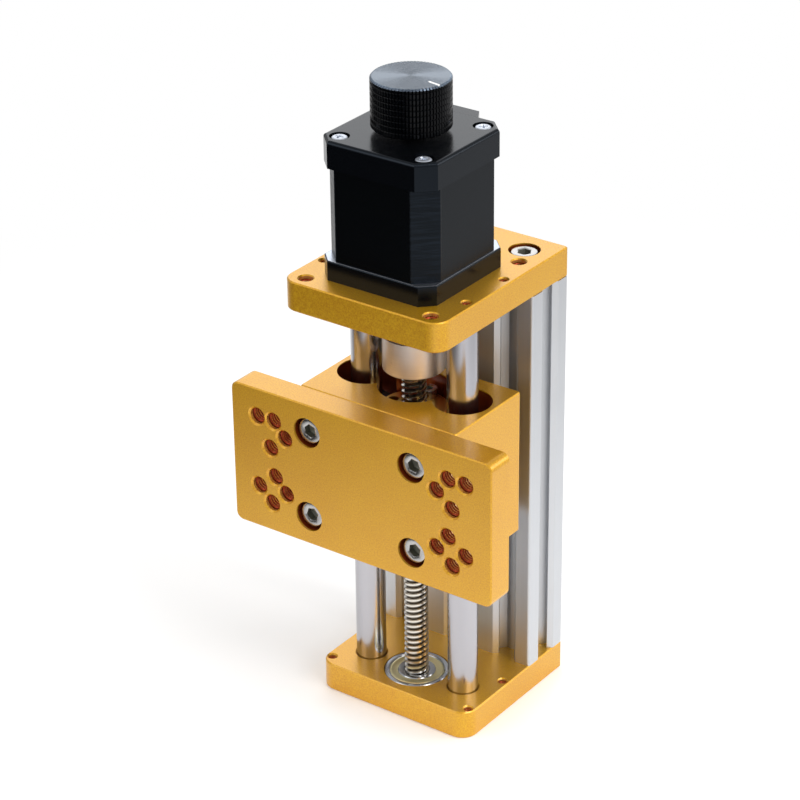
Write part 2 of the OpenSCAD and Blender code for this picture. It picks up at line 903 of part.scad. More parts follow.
module coupling_screws() {
    color("lightgray")
    at_clamps()
        translate([0, 0, clamp_seat])
            socket_screw([m3[0], m3[1], clamp_head_h, m3[3]], clamp_screw_len);
}

// Motor

// Outline of an end bell or a lamination: a square with cut corners
module motor_outline(w, c) {
    h = w / 2;
    polygon([[-h + c, -h], [h - c, -h], [h, -h + c], [h, h - c],
             [h - c, h], [-h + c, h], [-h, h - c], [-h, -h + c]]);
}

// Side view of a bell: a bar w wide and h high, with its two top corners rounded
module rimmed_bar(w, h, r) {
    translate([-w / 2, 0])
        square([w, h - r]);
    translate([-w / 2 + r, 0])
        square([w - 2 * r, h]);
    for (side = [-1, 1])
        translate([side * (w / 2 - r), h - r])
            circle(r);
}

// An end bell's body: the outline w wide with corners cut by c, and a rim rounded by r on
// all eight sides of its top
module rimmed_bell(w, c, h, r) {
    across_corners = sqrt(2) * (w - c);
    intersection() {
        linear_extrude(h)
            motor_outline(w, c);
        intersection_for (view = [[0, w], [45, across_corners], [90, w], [135, across_corners]])
            rotate([90, 0, view[0]])
                translate([0, 0, -w])
                    linear_extrude(2 * w)
                        rimmed_bar(view[1], h, r);
    }
}

// Places a child at the four corners of the motor's screw pattern
module at_motor_screws(z) {
    translate([0, 0, z])
        four(motor_screw_pitch / 2, motor_screw_pitch / 2)
            children();
}

module motor_front_bell() {
    color("black")
    difference() {
        union() {
            translate([0, 0, motor_z])
                rimmed_bell(motor_w, bell_chamfer, bell_h, bell_rim_r);
            translate([0, 0, motor_z - pilot_h])
                post(pilot_d / 2, pilot_h + 1, 0.3);
        }
        translate([0, 0, motor_z - pilot_h - cut])
            cylinder(d = shaft_d + 2, h = bell_h + pilot_h);
        translate([0, 0, front_brg_z])
            cylinder(d = motor_brg_od, h = bell_h);
        translate([0, 0, stack_z - coil_over - coil_gap])
            cylinder(r = coil_room, h = bell_h);
        at_motor_screws(motor_z - cut)
            cylinder(d = m3[0] + 2 * seat_gap, h = bell_h + 2 * cut);
    }
}

// Stator lamination with its winding slots, open towards the rotor between the pole shoes
module stator_shape() {
    shoe = 1;
    mouth = 2;
    bore = rotor_d / 2 + air_gap;
    difference() {
        motor_outline(stack_w, stack_chamfer);
        circle(bore);
        difference() {
            circle(coil_room);
            circle(bore + shoe);
            for (i = [0 : stator_poles / 2 - 1])
                rotate(i * 360 / stator_poles)
                    square([2 * stack_w, pole_w], center = true);
        }
        for (i = [0 : stator_poles - 1])
            rotate((i + 0.5) * 360 / stator_poles)
                translate([0, -mouth / 2])
                    square([bore + 2 * shoe, mouth]);
        four(motor_screw_pitch / 2, motor_screw_pitch / 2)
            circle(d = m3[0] + clear_d);
    }
}

module motor_stator() {
    color("dimgray")
    translate([0, 0, stack_z])
        linear_extrude(stack_h)
            stator_shape();
}

module stator_coils() {
    color("chocolate")
    for (i = [0 : stator_poles - 1])
        rotate(i * 360 / stator_poles)
            difference() {
                translate([coil_in, -pole_w / 2 - coil_t, stack_z - coil_over])
                    cube([coil_out - coil_in, pole_w + 2 * coil_t, stack_h + 2 * coil_over]);
                translate([0, -pole_w / 2 - seat_gap, stack_z - seat_gap])
                    cube([stack_w, pole_w + 2 * seat_gap, stack_h + 2 * seat_gap]);
            }
}

// Rounded connector boss on the back of the rear end bell
module boss_outline() {
    slope = 2.6;
    polygon([[-boss_w / 2, 0], [boss_w / 2, 0], [boss_w / 2 - slope, boss_out + 1],
             [-boss_w / 2 + slope, boss_out + 1]]);
}

connector_h = 5.4;
connector_z = cap_z + 1.8;
connector_w = connector_pins_n * 2 + 2;
connector_in = 19.6;

module motor_rear_bell() {
    color("black")
    difference() {
        union() {
            translate([0, 0, cap_z])
                rimmed_bell(motor_w, cap_chamfer, cap_h, cap_rim_r);
            translate([0, motor_w / 2 - 1, cap_z])
                linear_extrude(cap_h)
                    boss_outline();
        }
        translate([0, 0, cap_z - cut])
            cylinder(r = coil_room, h = coil_over + coil_gap + cut);
        translate([0, 0, cap_z])
            cylinder(d = motor_brg_od, h = rear_brg_z - cap_z + motor_brg_w + washer_t);
        translate([0, 0, cap_z])
            cylinder(d = shaft_d + 1, h = cap_h + cut);
        at_motor_screws(motor_top - case_seat)
            cylinder(d = m3_pan[1] + 1, h = case_seat + cut);
        at_motor_screws(cap_z - cut)
            cylinder(d = m3[0] + clear_d, h = cap_h);
        translate([-connector_w / 2, connector_in, connector_z])
            cube([connector_w, motor_w, connector_h]);
    }
}

module motor_case_screws() {
    color("white")
    at_motor_screws(motor_top - case_seat)
        pan_screw(m3_pan, motor_top - case_seat - stack_z + case_grip);
}

module motor_mount_screws() {
    color("lightgray")
    at_motor_screws(top_z + mount_seat)
        rotate([180, 0, 0])
            socket_screw([m3[0], m3[1], mount_head_h, m3[3]], top_t - mount_seat + mount_grip);
}

// Plug housing in the rear end bell, open towards the back
module motor_connector() {
    wall = 0.7;
    back = 1.4;
    depth = motor_w / 2 + boss_out - connector_in - 0.3;
    color("ivory")
    difference() {
        translate([-connector_w / 2 + seat_gap, connector_in, connector_z])
            cube([connector_w - 2 * seat_gap, depth, connector_h]);
        translate([-connector_w / 2 + wall, connector_in + back, connector_z + wall])
            cube([connector_w - 2 * wall, depth, connector_h - 2 * wall]);
        at_pins()
            cylinder(d = 0.6, h = 2 * back);
    }
}

// Places a child at the connector's pins, pointing to the back from the housing's inner face
module at_pins() {
    for (i = [0 : connector_pins_n - 1])
        translate([(i - (connector_pins_n - 1) / 2) * 2, connector_in - cut, connector_z + connector_h / 2])
            rotate([-90, 0, 0])
                children();
}

module connector_pins() {
    pin_len = 4;
    color("gold")
    at_pins()
        translate([0, 0, cut + 0.3])
            cylinder(d = 0.6 - 2 * seat_gap, h = pin_len);
}

module motor_bearing_outers() {
    color("lightsteelblue")
    for (z = [front_brg_z, rear_brg_z])
        translate([0, 0, z])
            bearing_outer(motor_brg);
}

module motor_bearing_inners() {
    color("lightsteelblue")
    for (z = [front_brg_z, rear_brg_z])
        translate([0, 0, z])
            bearing_inner(motor_brg);
}

module motor_bearing_balls() {
    color("white")
    for (z = [front_brg_z, rear_brg_z])
        translate([0, 0, z])
            bearing_balls(motor_brg, motor_balls);
}

// Spring washer that loads the rear bearing
module preload_washer() {
    color("gray")
    translate([0, 0, rear_brg_z + motor_brg_w])
        ring(motor_brg_od / 2 - 1.6, motor_brg_od / 2 - 2 * seat_gap, washer_t);
}

module motor_shaft() {
    color("silver")
    translate([0, 0, shaft_tip])
        post(shaft_d / 2, shaft_top - shaft_tip, end_bevel);
}

// Toothed disc of the rotor, turned by half a tooth on the upper cup
module toothed_disc(phase) {
    step = 360 / rotor_teeth;
    gap_w = PI * rotor_d / rotor_teeth / 2;
    difference() {
        circle(d = rotor_d);
        circle(d = shaft_d + 2 * seat_gap);
        for (i = [0 : rotor_teeth - 1])
            rotate((i + phase) * step)
                translate([rotor_d / 2 - rotor_tooth_h, -gap_w / 2])
                    square([rotor_tooth_h + cut, gap_w]);
    }
}

module rotor_cups() {
    cup_h = (stack_h - 2 * rotor_margin - magnet_h) / 2;
    color("slategray")
    for (cup = [[0, 0], [cup_h + magnet_h, 0.5]])
        translate([0, 0, stack_z + rotor_margin + cup[0]])
            linear_extrude(cup_h)
                toothed_disc(cup[1]);
}

module rotor_magnet() {
    cup_h = (stack_h - 2 * rotor_margin - magnet_h) / 2;
    color("darkslategray")
    translate([0, 0, stack_z + rotor_margin + cup_h])
        ring(shaft_d / 2 + seat_gap, rotor_d / 2 - 2 * rotor_tooth_h, magnet_h);
}

// Knob

set_screw_d = 4;
set_screw_len = 5;
set_screw_lift = 4;

// Cutter for one groove of the knurling, which leaves a narrow land on each ridge
module knurl_groove() {
    r = knob_d / 2;
    groove_share = 0.8;
    half = groove_share * PI * r / knurl_count * (1 + cut / knurl_depth);
    translate([0, 0, -cut])
        linear_extrude(knob_h + 2 * cut)
            polygon([[r - knurl_depth, 0], [r + cut, -half], [r + cut, half]]);
}

module hand_knob() {
    r = knob_d / 2;
    dish = 0.3;
    color("black")
    difference() {
        translate([0, 0, knob_z])
            rotate_extrude()
                polygon([[0, 0], [r - knob_bevel, 0], [r, knob_bevel], [r, knob_h - knob_bevel],
                         [r - knob_bevel, knob_h], [r - 2 * knob_bevel, knob_h],
                         [r - 2.5 * knob_bevel, knob_h - dish], [0, knob_h - dish]]);
        translate([0, 0, knob_z])
            for (i = [0 : knurl_count - 1])
                rotate(i * 360 / knurl_count)
                    knurl_groove();
        translate([0, 0, knob_z - cut])
            cylinder(d = shaft_d + 2 * seat_gap, h = shaft_top - knob_z + cut + seat_gap);
        translate([0, 0, knob_z + set_screw_lift])
            rotate([-90, 0, 0])
                cylinder(d = set_screw_d + 2 * seat_gap, h = knob_d);
    }
}

module knob_set_screw() {
    socket_d = 2;
    color("dimgray")
    translate([0, shaft_d / 2 + seat_gap, knob_z + set_screw_lift])
        rotate([-90, 0, 0])
        difference() {
            cylinder(d = set_screw_d, h = set_screw_len);
            translate([0, 0, set_screw_len / 2])
                cylinder(d = socket_d / cos(30), h = set_screw_len, $fn = 6);
        }
}

base_plate();
top_plate();
back_rail();
guide_rod_left();
guide_rod_right();
rail_screws_base();
rail_screws_top();
base_bearing_outer();
base_bearing_inner();
base_bearing_balls();
base_bearing_cage();
base_bearing_shields();
carriage_block();
tool_plate();
tool_plate_screws();
linear_bearing_left();
linear_bearing_right();
linear_bearing_cages();
linear_bearing_balls();
linear_bearing_seals();
lead_nut();
lead_nut_screws();
lead_screw();
coupling();
coupling_screws();
motor_front_bell();
motor_stator();
stator_coils();
motor_rear_bell();
motor_case_screws();
motor_mount_screws();
motor_connector();
connector_pins();
motor_bearing_outers();
motor_bearing_inners();
motor_bearing_balls();
preload_washer();
motor_shaft();
rotor_cups();
rotor_magnet();
hand_knob();
knob_set_screw();
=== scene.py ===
"""Looks of the motor-driven Z-axis module: meshes, finishes, light and camera round its frame."""

import logging
import math
from dataclasses import dataclass
from enum import Enum
from typing import Any, Callable

import bmesh
import bpy
from mathutils import Matrix, Vector


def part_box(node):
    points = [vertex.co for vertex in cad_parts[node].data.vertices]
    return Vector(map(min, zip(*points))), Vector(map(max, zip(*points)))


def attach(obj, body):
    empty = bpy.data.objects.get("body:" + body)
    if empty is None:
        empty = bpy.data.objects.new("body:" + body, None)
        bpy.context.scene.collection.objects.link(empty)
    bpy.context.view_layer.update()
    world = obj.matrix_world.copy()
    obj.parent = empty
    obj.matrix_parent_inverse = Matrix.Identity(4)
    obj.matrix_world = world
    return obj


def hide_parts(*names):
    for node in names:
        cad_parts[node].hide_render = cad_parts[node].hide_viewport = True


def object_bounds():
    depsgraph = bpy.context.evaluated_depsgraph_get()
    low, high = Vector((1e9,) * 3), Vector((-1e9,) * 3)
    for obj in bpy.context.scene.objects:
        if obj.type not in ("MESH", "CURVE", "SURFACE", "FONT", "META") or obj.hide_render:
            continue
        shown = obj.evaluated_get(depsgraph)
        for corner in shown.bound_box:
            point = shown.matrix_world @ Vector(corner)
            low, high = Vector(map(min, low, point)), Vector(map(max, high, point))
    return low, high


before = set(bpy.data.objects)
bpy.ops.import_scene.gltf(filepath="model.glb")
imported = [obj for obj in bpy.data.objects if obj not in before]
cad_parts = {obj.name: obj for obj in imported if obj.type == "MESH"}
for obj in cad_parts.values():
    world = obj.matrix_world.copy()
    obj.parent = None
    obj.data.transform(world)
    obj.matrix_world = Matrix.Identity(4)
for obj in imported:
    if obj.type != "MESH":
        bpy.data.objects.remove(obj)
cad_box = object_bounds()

log = logging.getLogger("z_axis")

MM = 0.001
PHOTO_SIDE = 800
SENSOR = 36.0
WELD = 1e-4
SLIVER = 1e-5

Point = tuple[float, float, float]
Colour = tuple[float, float, float, float]
Profile = list[tuple[float, float]]


class Slot(Enum):
    """Material slots of the record, given with the pieces made here."""

    GOLD = "gold_anodised"
    CHROME = "chromed_rod"
    SCREW = "lead_screw_steel"
    FASTENER = "screw_steel"
    BEARING = "bearing_steel"
    SHIELD = "tinted_shield"
    SEAL = "seal_rubber"
    SHAFT = "shaft_steel"
    KNOB = "knob_black"


class Body(Enum):
    """Bodies that carry the pieces made here."""

    FRAME = "frame"
    CARRIAGE = "carriage"
    SCREW = "screw"


class Signal:
    """The output of a shader node, used in expressions as if it were a number."""

    def __init__(self, bench: "Bench", socket: bpy.types.NodeSocket) -> None:
        """Keeps the socket and the bench that it stands on."""
        self.bench = bench
        self.socket = socket

    def _math(self, operation: str, first: Any, second: Any) -> "Signal":
        """Adds one Math node.

        Args:
            operation: The node's operation.
            first: Its first input.
            second: Its second input.

        Returns:
            The node's output.
        """
        return self.bench.add("ShaderNodeMath", {"operation": operation}, {0: first, 1: second})

    def __add__(self, other: Any) -> "Signal":
        """This signal plus another value."""
        return self._math("ADD", self, other)

    def __radd__(self, other: Any) -> "Signal":
        """Another value plus this signal."""
        return self._math("ADD", other, self)

    def __sub__(self, other: Any) -> "Signal":
        """This signal less another value."""
        return self._math("SUBTRACT", self, other)

    def __rsub__(self, other: Any) -> "Signal":
        """Another value less this signal."""
        return self._math("SUBTRACT", other, self)

    def __mul__(self, other: Any) -> "Signal":
        """This signal times another value."""
        return self._math("MULTIPLY", self, other)

    def __rmul__(self, other: Any) -> "Signal":
        """Another value times this signal."""
        return self._math("MULTIPLY", other, self)

    def __pow__(self, other: Any) -> "Signal":
        """This signal raised to a power."""
        return self._math("POWER", self, other)

    def __abs__(self) -> "Signal":
        """This signal without its sign."""
        return self._math("ABSOLUTE", self, 0.0)

    def waves(self, length: float) -> "Signal":
        """Waves from 0 to 1 along this signal, each of one length."""
        return self._math("SINE", self * (math.tau / length), 0.0) * 0.5 + 0.5

    def reach(self, other: "Signal") -> "Signal":
        """Distance from the axis at which this signal and another are 0."""
        return (self * self + other * other) ** 0.5

    def at_most(self, other: Any) -> "Signal":
        """The smaller of this signal and another value."""
        return self._math("MINIMUM", self, other)

    def at_least(self, other: Any) -> "Signal":
        """The larger of this signal and another value."""
        return self._math("MAXIMUM", self, other)

    def rise(self, low: float, high: float) -> "Signal":
        """A smooth step from 0 at low to 1 at high.

        Args:
            low: Where the step starts.
            high: Where it ends.

        Returns:
            The step.
        """
        settings = {"interpolation_type": "SMOOTHSTEP"}
        return self.bench.add("ShaderNodeMapRange", settings, {"Value": self, 1: low, 2: high})


class Bench:
    """Lays out the nodes of one material or world."""

    def __init__(self, tree: bpy.types.NodeTree) -> None:
        """Clears the tree that it works on."""
        self.tree = tree
        tree.nodes.clear()

    def add(self, kind: str, settings: dict[str, Any] | None = None,
            sockets: dict[Any, Any] | None = None, out: int = 0) -> Signal:
        """Adds one node.

        Args:
            kind: The node's type.
            settings: Its properties, set before its sockets.
            sockets: Values or signals for its inputs, by name or number.
            out: The number of the output wanted.

        Returns:
            That output, or an empty signal where the node has none.
        """
        node = self.tree.nodes.new(kind)
        for key, value in (settings or {}).items():
            setattr(node, key, value)
        for key, value in (sockets or {}).items():
            if isinstance(value, Signal):
                self.tree.links.new(value.socket, node.inputs[key])
            else:
                node.inputs[key].default_value = value
        return Signal(self, node.outputs[out] if len(node.outputs) else None)

    def place(self, shift: Point = (0, 0, 0), turn: Point = (0, 0, 0),
              scale: Point = (1, 1, 1)) -> Signal:
        """Object coordinates in millimetres, moved, turned and scaled.

        Args:
            shift: Point that becomes the origin, in millimetres.
            turn: Turn about the three axes, in degrees.
            scale: Scale along the three axes.

        Returns:
            The coordinates.
        """
        raw = self.add("ShaderNodeTexCoord", out=3)
        moved = self.add("ShaderNodeMapping", {"vector_type": "POINT"}, {
            "Vector": raw,
            "Location": tuple(-part for part in shift),
            "Scale": (1 / MM, 1 / MM, 1 / MM),
        })
        return self.add("ShaderNodeMapping", {"vector_type": "POINT"}, {
            "Vector": moved,
            "Rotation": tuple(math.radians(part) for part in turn),
            "Scale": scale,
        })

    def axes(self, vector: Signal) -> tuple[Signal, Signal, Signal]:
        """Takes a vector apart.

        Args:
            vector: The vector.

        Returns:
            Its parts along the three axes.
        """
        first = self.add("ShaderNodeSeparateXYZ", sockets={"Vector": vector})
        outputs = first.socket.node.outputs
        return first, Signal(self, outputs[1]), Signal(self, outputs[2])

    def noise(self, vector: Signal, scale: float, detail: float = 2.0) -> Signal:
        """Noise from 0 to 1.

        Args:
            vector: Where it is read, in millimetres.
            scale: Waves per millimetre.
            detail: Octaves.

        Returns:
            The noise.
        """
        return self.add("ShaderNodeTexNoise", {"noise_dimensions": "3D"},
                        {"Vector": vector, "Scale": scale, "Detail": detail})

    def blend(self, start: Any, end: Any, share: Any) -> Signal:
        """Mixes two colours.

        Args:
            start: Colour at share 0.
            end: Colour at share 1.
            share: How much of end.

        Returns:
            The mixed colour.
        """
        return self.add("ShaderNodeMix", {"data_type": "RGBA", "blend_type": "MIX"},
                        {0: share, 6: start, 7: end}, out=2)

    def bump(self, height: Signal, depth: float, strength: float = 1.0) -> Signal:
        """Bump from a height.

        Args:
            height: Height from 0 to 1.
            depth: What a height of 1 stands for, in millimetres.
            strength: Share of the bump.

        Returns:
            The normal.
        """
        return self.add("ShaderNodeBump", sockets={
            "Height": height, "Distance": depth * MM, "Strength": strength})


def rgb(red: float, green: float, blue: float) -> Colour:
    """A colour for the shader from screen values.

    Args:
        red: Red from 0 to 255.
        green: Green from 0 to 255.
        blue: Blue from 0 to 255.

    Returns:
        The linear colour.
    """
    def linear(value: float) -> float:
        """One channel made linear."""
        share = value / 255
        return share / 12.92 if share <= 0.04045 else ((share + 0.055) / 1.055) ** 2.4

    return (linear(red), linear(green), linear(blue), 1.0)


def shaded(tone: Colour, factor: float, lift: float = 0.0) -> Colour:
    """A colour made darker or lighter."""
    return tuple(min(1.0, part * factor + lift) for part in tone[:3]) + (1.0,)


@dataclass(frozen=True)
class Finish:
    """A surface finish, made into a material the first time that it is asked for."""

    name: str

    def surface(self, bench: Bench) -> dict[str, Any]:
        """The shader's inputs, as each finish lays them out."""
        raise NotImplementedError

    def material(self) -> bpy.types.Material:
        """The finish as a material.

        Returns:
            The material, made once for each name.
        """
        known = MATERIALS.get(self.name)
        if known is None:
            known = bpy.data.materials.new(self.name)
            known.use_nodes = True
            bench = Bench(known.node_tree)
            shader = bench.add("ShaderNodeBsdfPrincipled", sockets=self.surface(bench))
            bench.add("ShaderNodeOutputMaterial", sockets={"Surface": shader})
            MATERIALS[self.name] = known
        return known


MATERIALS: dict[str, bpy.types.Material] = {}
COOL = rgb(206, 226, 250)


@dataclass(frozen=True)
class BlastedAnodise(Finish):
    """Bead-blasted and dyed aluminium under its clear oxide."""

    dye: Colour = rgb(207, 142, 6)
    pale: Colour = rgb(235, 185, 28)
    # painted shade: the darker colour that the walls of the bores take
    painted_bore_shade: Colour = rgb(150, 60, 10)
    grain: float = 2.2
    contrast: float = 2.2
    grain_depth: float = 0.05
    roughness: float = 0.46
    coat: float = 0.55
    metal: float = 0.78
    middle: Point = (0, 0, 0)
    half: Point = (0, 0, 0)
    margin: Point = (1, 1, 1)
    turn_in: float = 0.3

    def inside(self, bench: Bench) -> Any:
        """How far a point lies within the part's box, as the walls of its bores do: the mask of
        the painted shade in them.

        Args:
            bench: Where its nodes stand.

        Returns:
            1 on the walls of bores, 0 on the faces outside.
        """
        share: Any = 1.0
        parts = bench.axes(bench.place(shift=self.middle))
        for part, half, margin in zip(parts, self.half, self.margin):
            share = (half - abs(part)).rise(margin, margin + self.turn_in) * share
        return share

    def surface(self, bench: Bench) -> dict[str, Any]:
        """A fine speckle in colour, gloss and height, with painted shade darkening the bores.

        Args:
            bench: Where its nodes stand.

        Returns:
            The shader's inputs.
        """
        place = bench.place()
        speckle = bench.noise(place, self.grain, 3.0)
        cloud = bench.noise(place, 0.05, 2.0)
        share = (speckle - 0.5) * self.contrast + (cloud - 0.5) * 0.4 + 0.45
        open_face = bench.blend(self.dye, self.pale, share.at_least(0.0).at_most(1.0))
        return {
            # painted shade: the bore walls are blended to a darker colour
            "Base Color": bench.blend(open_face, self.painted_bore_shade, self.inside(bench)),
            "Metallic": self.metal,
            "Roughness": speckle * 0.2 + (self.roughness - 0.1),
            "Coat Weight": self.coat,
            "Coat Roughness": 0.22,
            "Coat IOR": 1.7,
            "Normal": bench.bump(speckle, self.grain_depth, 0.8),
        }


@dataclass(frozen=True)
class DrawnAluminium(Finish):
    """Extruded and clear-anodised aluminium with fine lines along its length."""

    tone: Colour = rgb(214, 216, 219)
    dull: Colour = rgb(200, 202, 206)

    def surface(self, bench: Bench) -> dict[str, Any]:
        """Die lines along Z in gloss and height.

        Args:
            bench: Where its nodes stand.

        Returns:
            The shader's inputs.
        """
        lines = bench.noise(bench.place(scale=(1, 1, 0.004)), 3.2, 4.0)
        cloud = bench.noise(bench.place(), 0.08, 2.0)
        return {
            "Base Color": bench.blend(self.dull, self.tone, lines * 0.7 + cloud * 0.4),
            "Metallic": 1.0,
            "Roughness": lines * 0.1 + 0.4,
            "Normal": bench.bump(lines, 0.004, 0.4),
        }


@dataclass(frozen=True)
class PolishedBar(Finish):
    """Ground and chromed bar with faint lines round it."""

    tone: Colour = rgb(184, 183, 188)
    roughness: float = 0.2

    def surface(self, bench: Bench) -> dict[str, Any]:
        """Grinding lines across the bar.

        Args:
            bench: Where its nodes stand.

        Returns:
            The shader's inputs.
        """
        lines = bench.noise(bench.place(scale=(0.02, 0.02, 1)), 4.0, 3.0)
        haze = bench.noise(bench.place(), 0.15, 3.0)
        return {
            "Base Color": self.tone,
            "Metallic": 1.0,
            "Roughness": lines * 0.04 + haze * 0.05 + (self.roughness - 0.04),
            "Normal": bench.bump(lines, 0.002, 0.5),
        }


@dataclass(frozen=True)
class RolledThread(Finish):
    """Rolled steel thread, oily, with painted shade darkening its root."""

    axis: Point = (0, 0, 0)
    root: float = 3.0
    crest: float = 4.0

    def surface(self, bench: Bench) -> dict[str, Any]:
        """Colour and gloss by the distance from the axis, the colour darker at the root as painted
        shade.

        Args:
            bench: Where its nodes stand.

        Returns:
            The shader's inputs.
        """
        across, deep, _ = bench.axes(bench.place(shift=self.axis))
        height = across.reach(deep).rise(self.root, self.crest)
        smear = bench.noise(bench.place(scale=(1, 1, 0.5)), 1.1, 3.0)
        return {
            # painted shade: dark at the thread root, light at the crest
            "Base Color": bench.blend(rgb(112, 104, 92), rgb(224, 220, 212), height),
            "Metallic": 1.0,
            "Roughness": smear * 0.14 + 0.16,
            "Normal": bench.bump(smear, 0.01, 0.3),
        }


@dataclass(frozen=True)
class TurnedMetal(Finish):
    """Turned metal with the marks of the tool along an axis."""

    tone: Colour = rgb(214, 208, 202)
    roughness: float = 0.28
    marks: float = 2.2
    depth: float = 0.006

    def surface(self, bench: Bench) -> dict[str, Any]:
        """Lines across the axis with a faint cloud.

        Args:
            bench: Where its nodes stand.

        Returns:
            The shader's inputs.
        """
        lines = bench.noise(bench.place(scale=(0.03, 0.03, 1)), self.marks, 4.0)
        cloud = bench.noise(bench.place(), 0.3, 3.0)
        return {
            "Base Color": bench.blend(shaded(self.tone, 0.82), self.tone,
                                      lines * 0.6 + cloud * 0.6),
            "Metallic": 1.0,
            "Roughness": lines * 0.1 + cloud * 0.06 + (self.roughness - 0.08),
            "Normal": bench.bump(lines, self.depth, 0.6),
        }


@dataclass(frozen=True)
class Enamel(Finish):
    """Stoved black paint with a faint orange peel, machined bare above a height."""

    tone: Colour = rgb(4, 5, 7)
    roughness: float = 0.22
    specular: float = 0.27
    bare_from: float = 1000.0
    brim: tuple[float, float] = (-0.08, -0.03)

    def surface(self, bench: Bench) -> dict[str, Any]:
        """A soft ripple and dust-fine changes of gloss.

        Args:
            bench: Where its nodes stand.

        Returns:
            The shader's inputs.
        """
        place = bench.place()
        peel = bench.noise(place, 0.9, 2.0)
        dust = bench.noise(place, 5.0, 3.0)
        _, _, height = bench.axes(place)
        bare = height.rise(*(self.bare_from + part for part in self.brim))
        paint = bench.blend(self.tone, shaded(self.tone, 1.7), dust * 0.6)
        return {
            "Base Color": bench.blend(paint, rgb(206, 208, 214), bare),
            "Metallic": bare,
            "Roughness": dust * 0.1 + bare * 0.1 + (self.roughness - 0.05),
            "Specular IOR Level": self.specular,
            "Specular Tint": COOL,
            "Normal": bench.bump(peel, 0.01, 0.5),
        }


@dataclass(frozen=True)
class Laminations(Finish):
    """A painted stack of thin sheets, which show at its cut corners."""

    sheet: float = 0.5
    corner: float = 35.0
    worn_from: float = 0.42

    def surface(self, bench: Bench) -> dict[str, Any]:
        """Ridges at the edges of the sheets.

        Args:
            bench: Where its nodes stand.

        Returns:
            The shader's inputs.
        """
        across, deep, height = bench.axes(bench.place())
        ridge = height.waves(self.sheet)
        uneven = bench.noise(bench.place(scale=(0.05, 0.05, 1)), 1.9, 3.0)
        edge = (abs(across) + abs(deep)).rise(self.corner, self.corner + 0.3)
        worn = (uneven - self.worn_from).at_least(0.0) * 3.0 * edge
        return {
            "Base Color": bench.blend(rgb(3, 4, 5), rgb(17, 22, 29), worn.at_most(1.0)),
            "Metallic": 0.0,
            "Specular IOR Level": 0.22,
            "Specular Tint": COOL,
            "Roughness": uneven * edge * 0.2 + 0.26,
            "Normal": bench.bump((ridge * 0.6 + uneven) * edge, 0.04, 0.7),
        }


@dataclass(frozen=True)
class BlackKnurl(Finish):
    """Black anodised aluminium of the knob, with a white mark let into its top."""

    axis: Point = (0, 0, 0)
    mark_from: float = 7.6
    mark_to: float = 12.1
    mark_half: float = 0.42
    mark_turn: float = 0.0
    ring: float = 0.22
    ring_depth: float = 0.03
    soft: float = 0.05
    side: tuple[float, float] = (-0.6, -0.5)

    def surface(self, bench: Bench) -> dict[str, Any]:
        """Spun lines round the axis, and the mark as a short bar.

        Args:
            bench: Where its nodes stand.

        Returns:
            The shader's inputs.
        """
        across, deep, up = bench.axes(bench.place(shift=self.axis, turn=(0, 0, -self.mark_turn)))
        radius = across.reach(deep)
        rings = radius.waves(self.ring)
        soft = self.soft
        along = across.rise(self.mark_from - soft, self.mark_from + soft)
        beyond = across.rise(self.mark_to - soft, self.mark_to + soft)
        beside = abs(deep).rise(self.mark_half - soft, self.mark_half + soft)
        top = up.rise(*self.side)
        mark = along * (1 - beyond) * (1 - beside) * top
        spun = top * (1 - mark)
        metal = bench.blend(rgb(2, 3, 5), rgb(96, 107, 120), spun)
        return {
            "Base Color": bench.blend(metal, rgb(240, 240, 240), mark),
            "Metallic": spun,
            "Roughness": rings * 0.06 + 0.2,
            "Specular IOR Level": 0.2,
            "Normal": bench.bump(rings * spun, self.ring_depth),
        }


@dataclass(frozen=True)
class Moulded(Finish):
    """Moulded plastic, rubber or resin."""

    tone: Colour = rgb(30, 30, 30)
    roughness: float = 0.5

    def surface(self, bench: Bench) -> dict[str, Any]:
        """A fine mould grain.

        Args:
            bench: Where its nodes stand.

        Returns:
            The shader's inputs.
        """
        grain = bench.noise(bench.place(), 3.0, 3.0)
        return {
            "Base Color": bench.blend(self.tone, shaded(self.tone, 1.25, 0.004), grain),
            "Roughness": grain * 0.16 + (self.roughness - 0.08),
            "Normal": bench.bump(grain, 0.02, 0.4),
        }


@dataclass(frozen=True)
class Windings(Finish):
    """Enamelled copper wire laid side by side."""

    wire: float = 0.35

    def surface(self, bench: Bench) -> dict[str, Any]:
        """A ridge for each wire, with painted shade between the wires.

        Args:
            bench: Where its nodes stand.

        Returns:
            The shader's inputs.
        """
        across, deep, _ = bench.axes(bench.place())
        ridge = (across + deep).waves(self.wire)
        return {
            # painted shade: dark between the wires, copper on each wire's crest
            "Base Color": bench.blend(rgb(110, 48, 22), rgb(208, 116, 66), ridge),
            "Metallic": 1.0,
            "Roughness": ridge * 0.1 + 0.25,
            "Normal": bench.bump(ridge, 0.1, 0.8),
        }


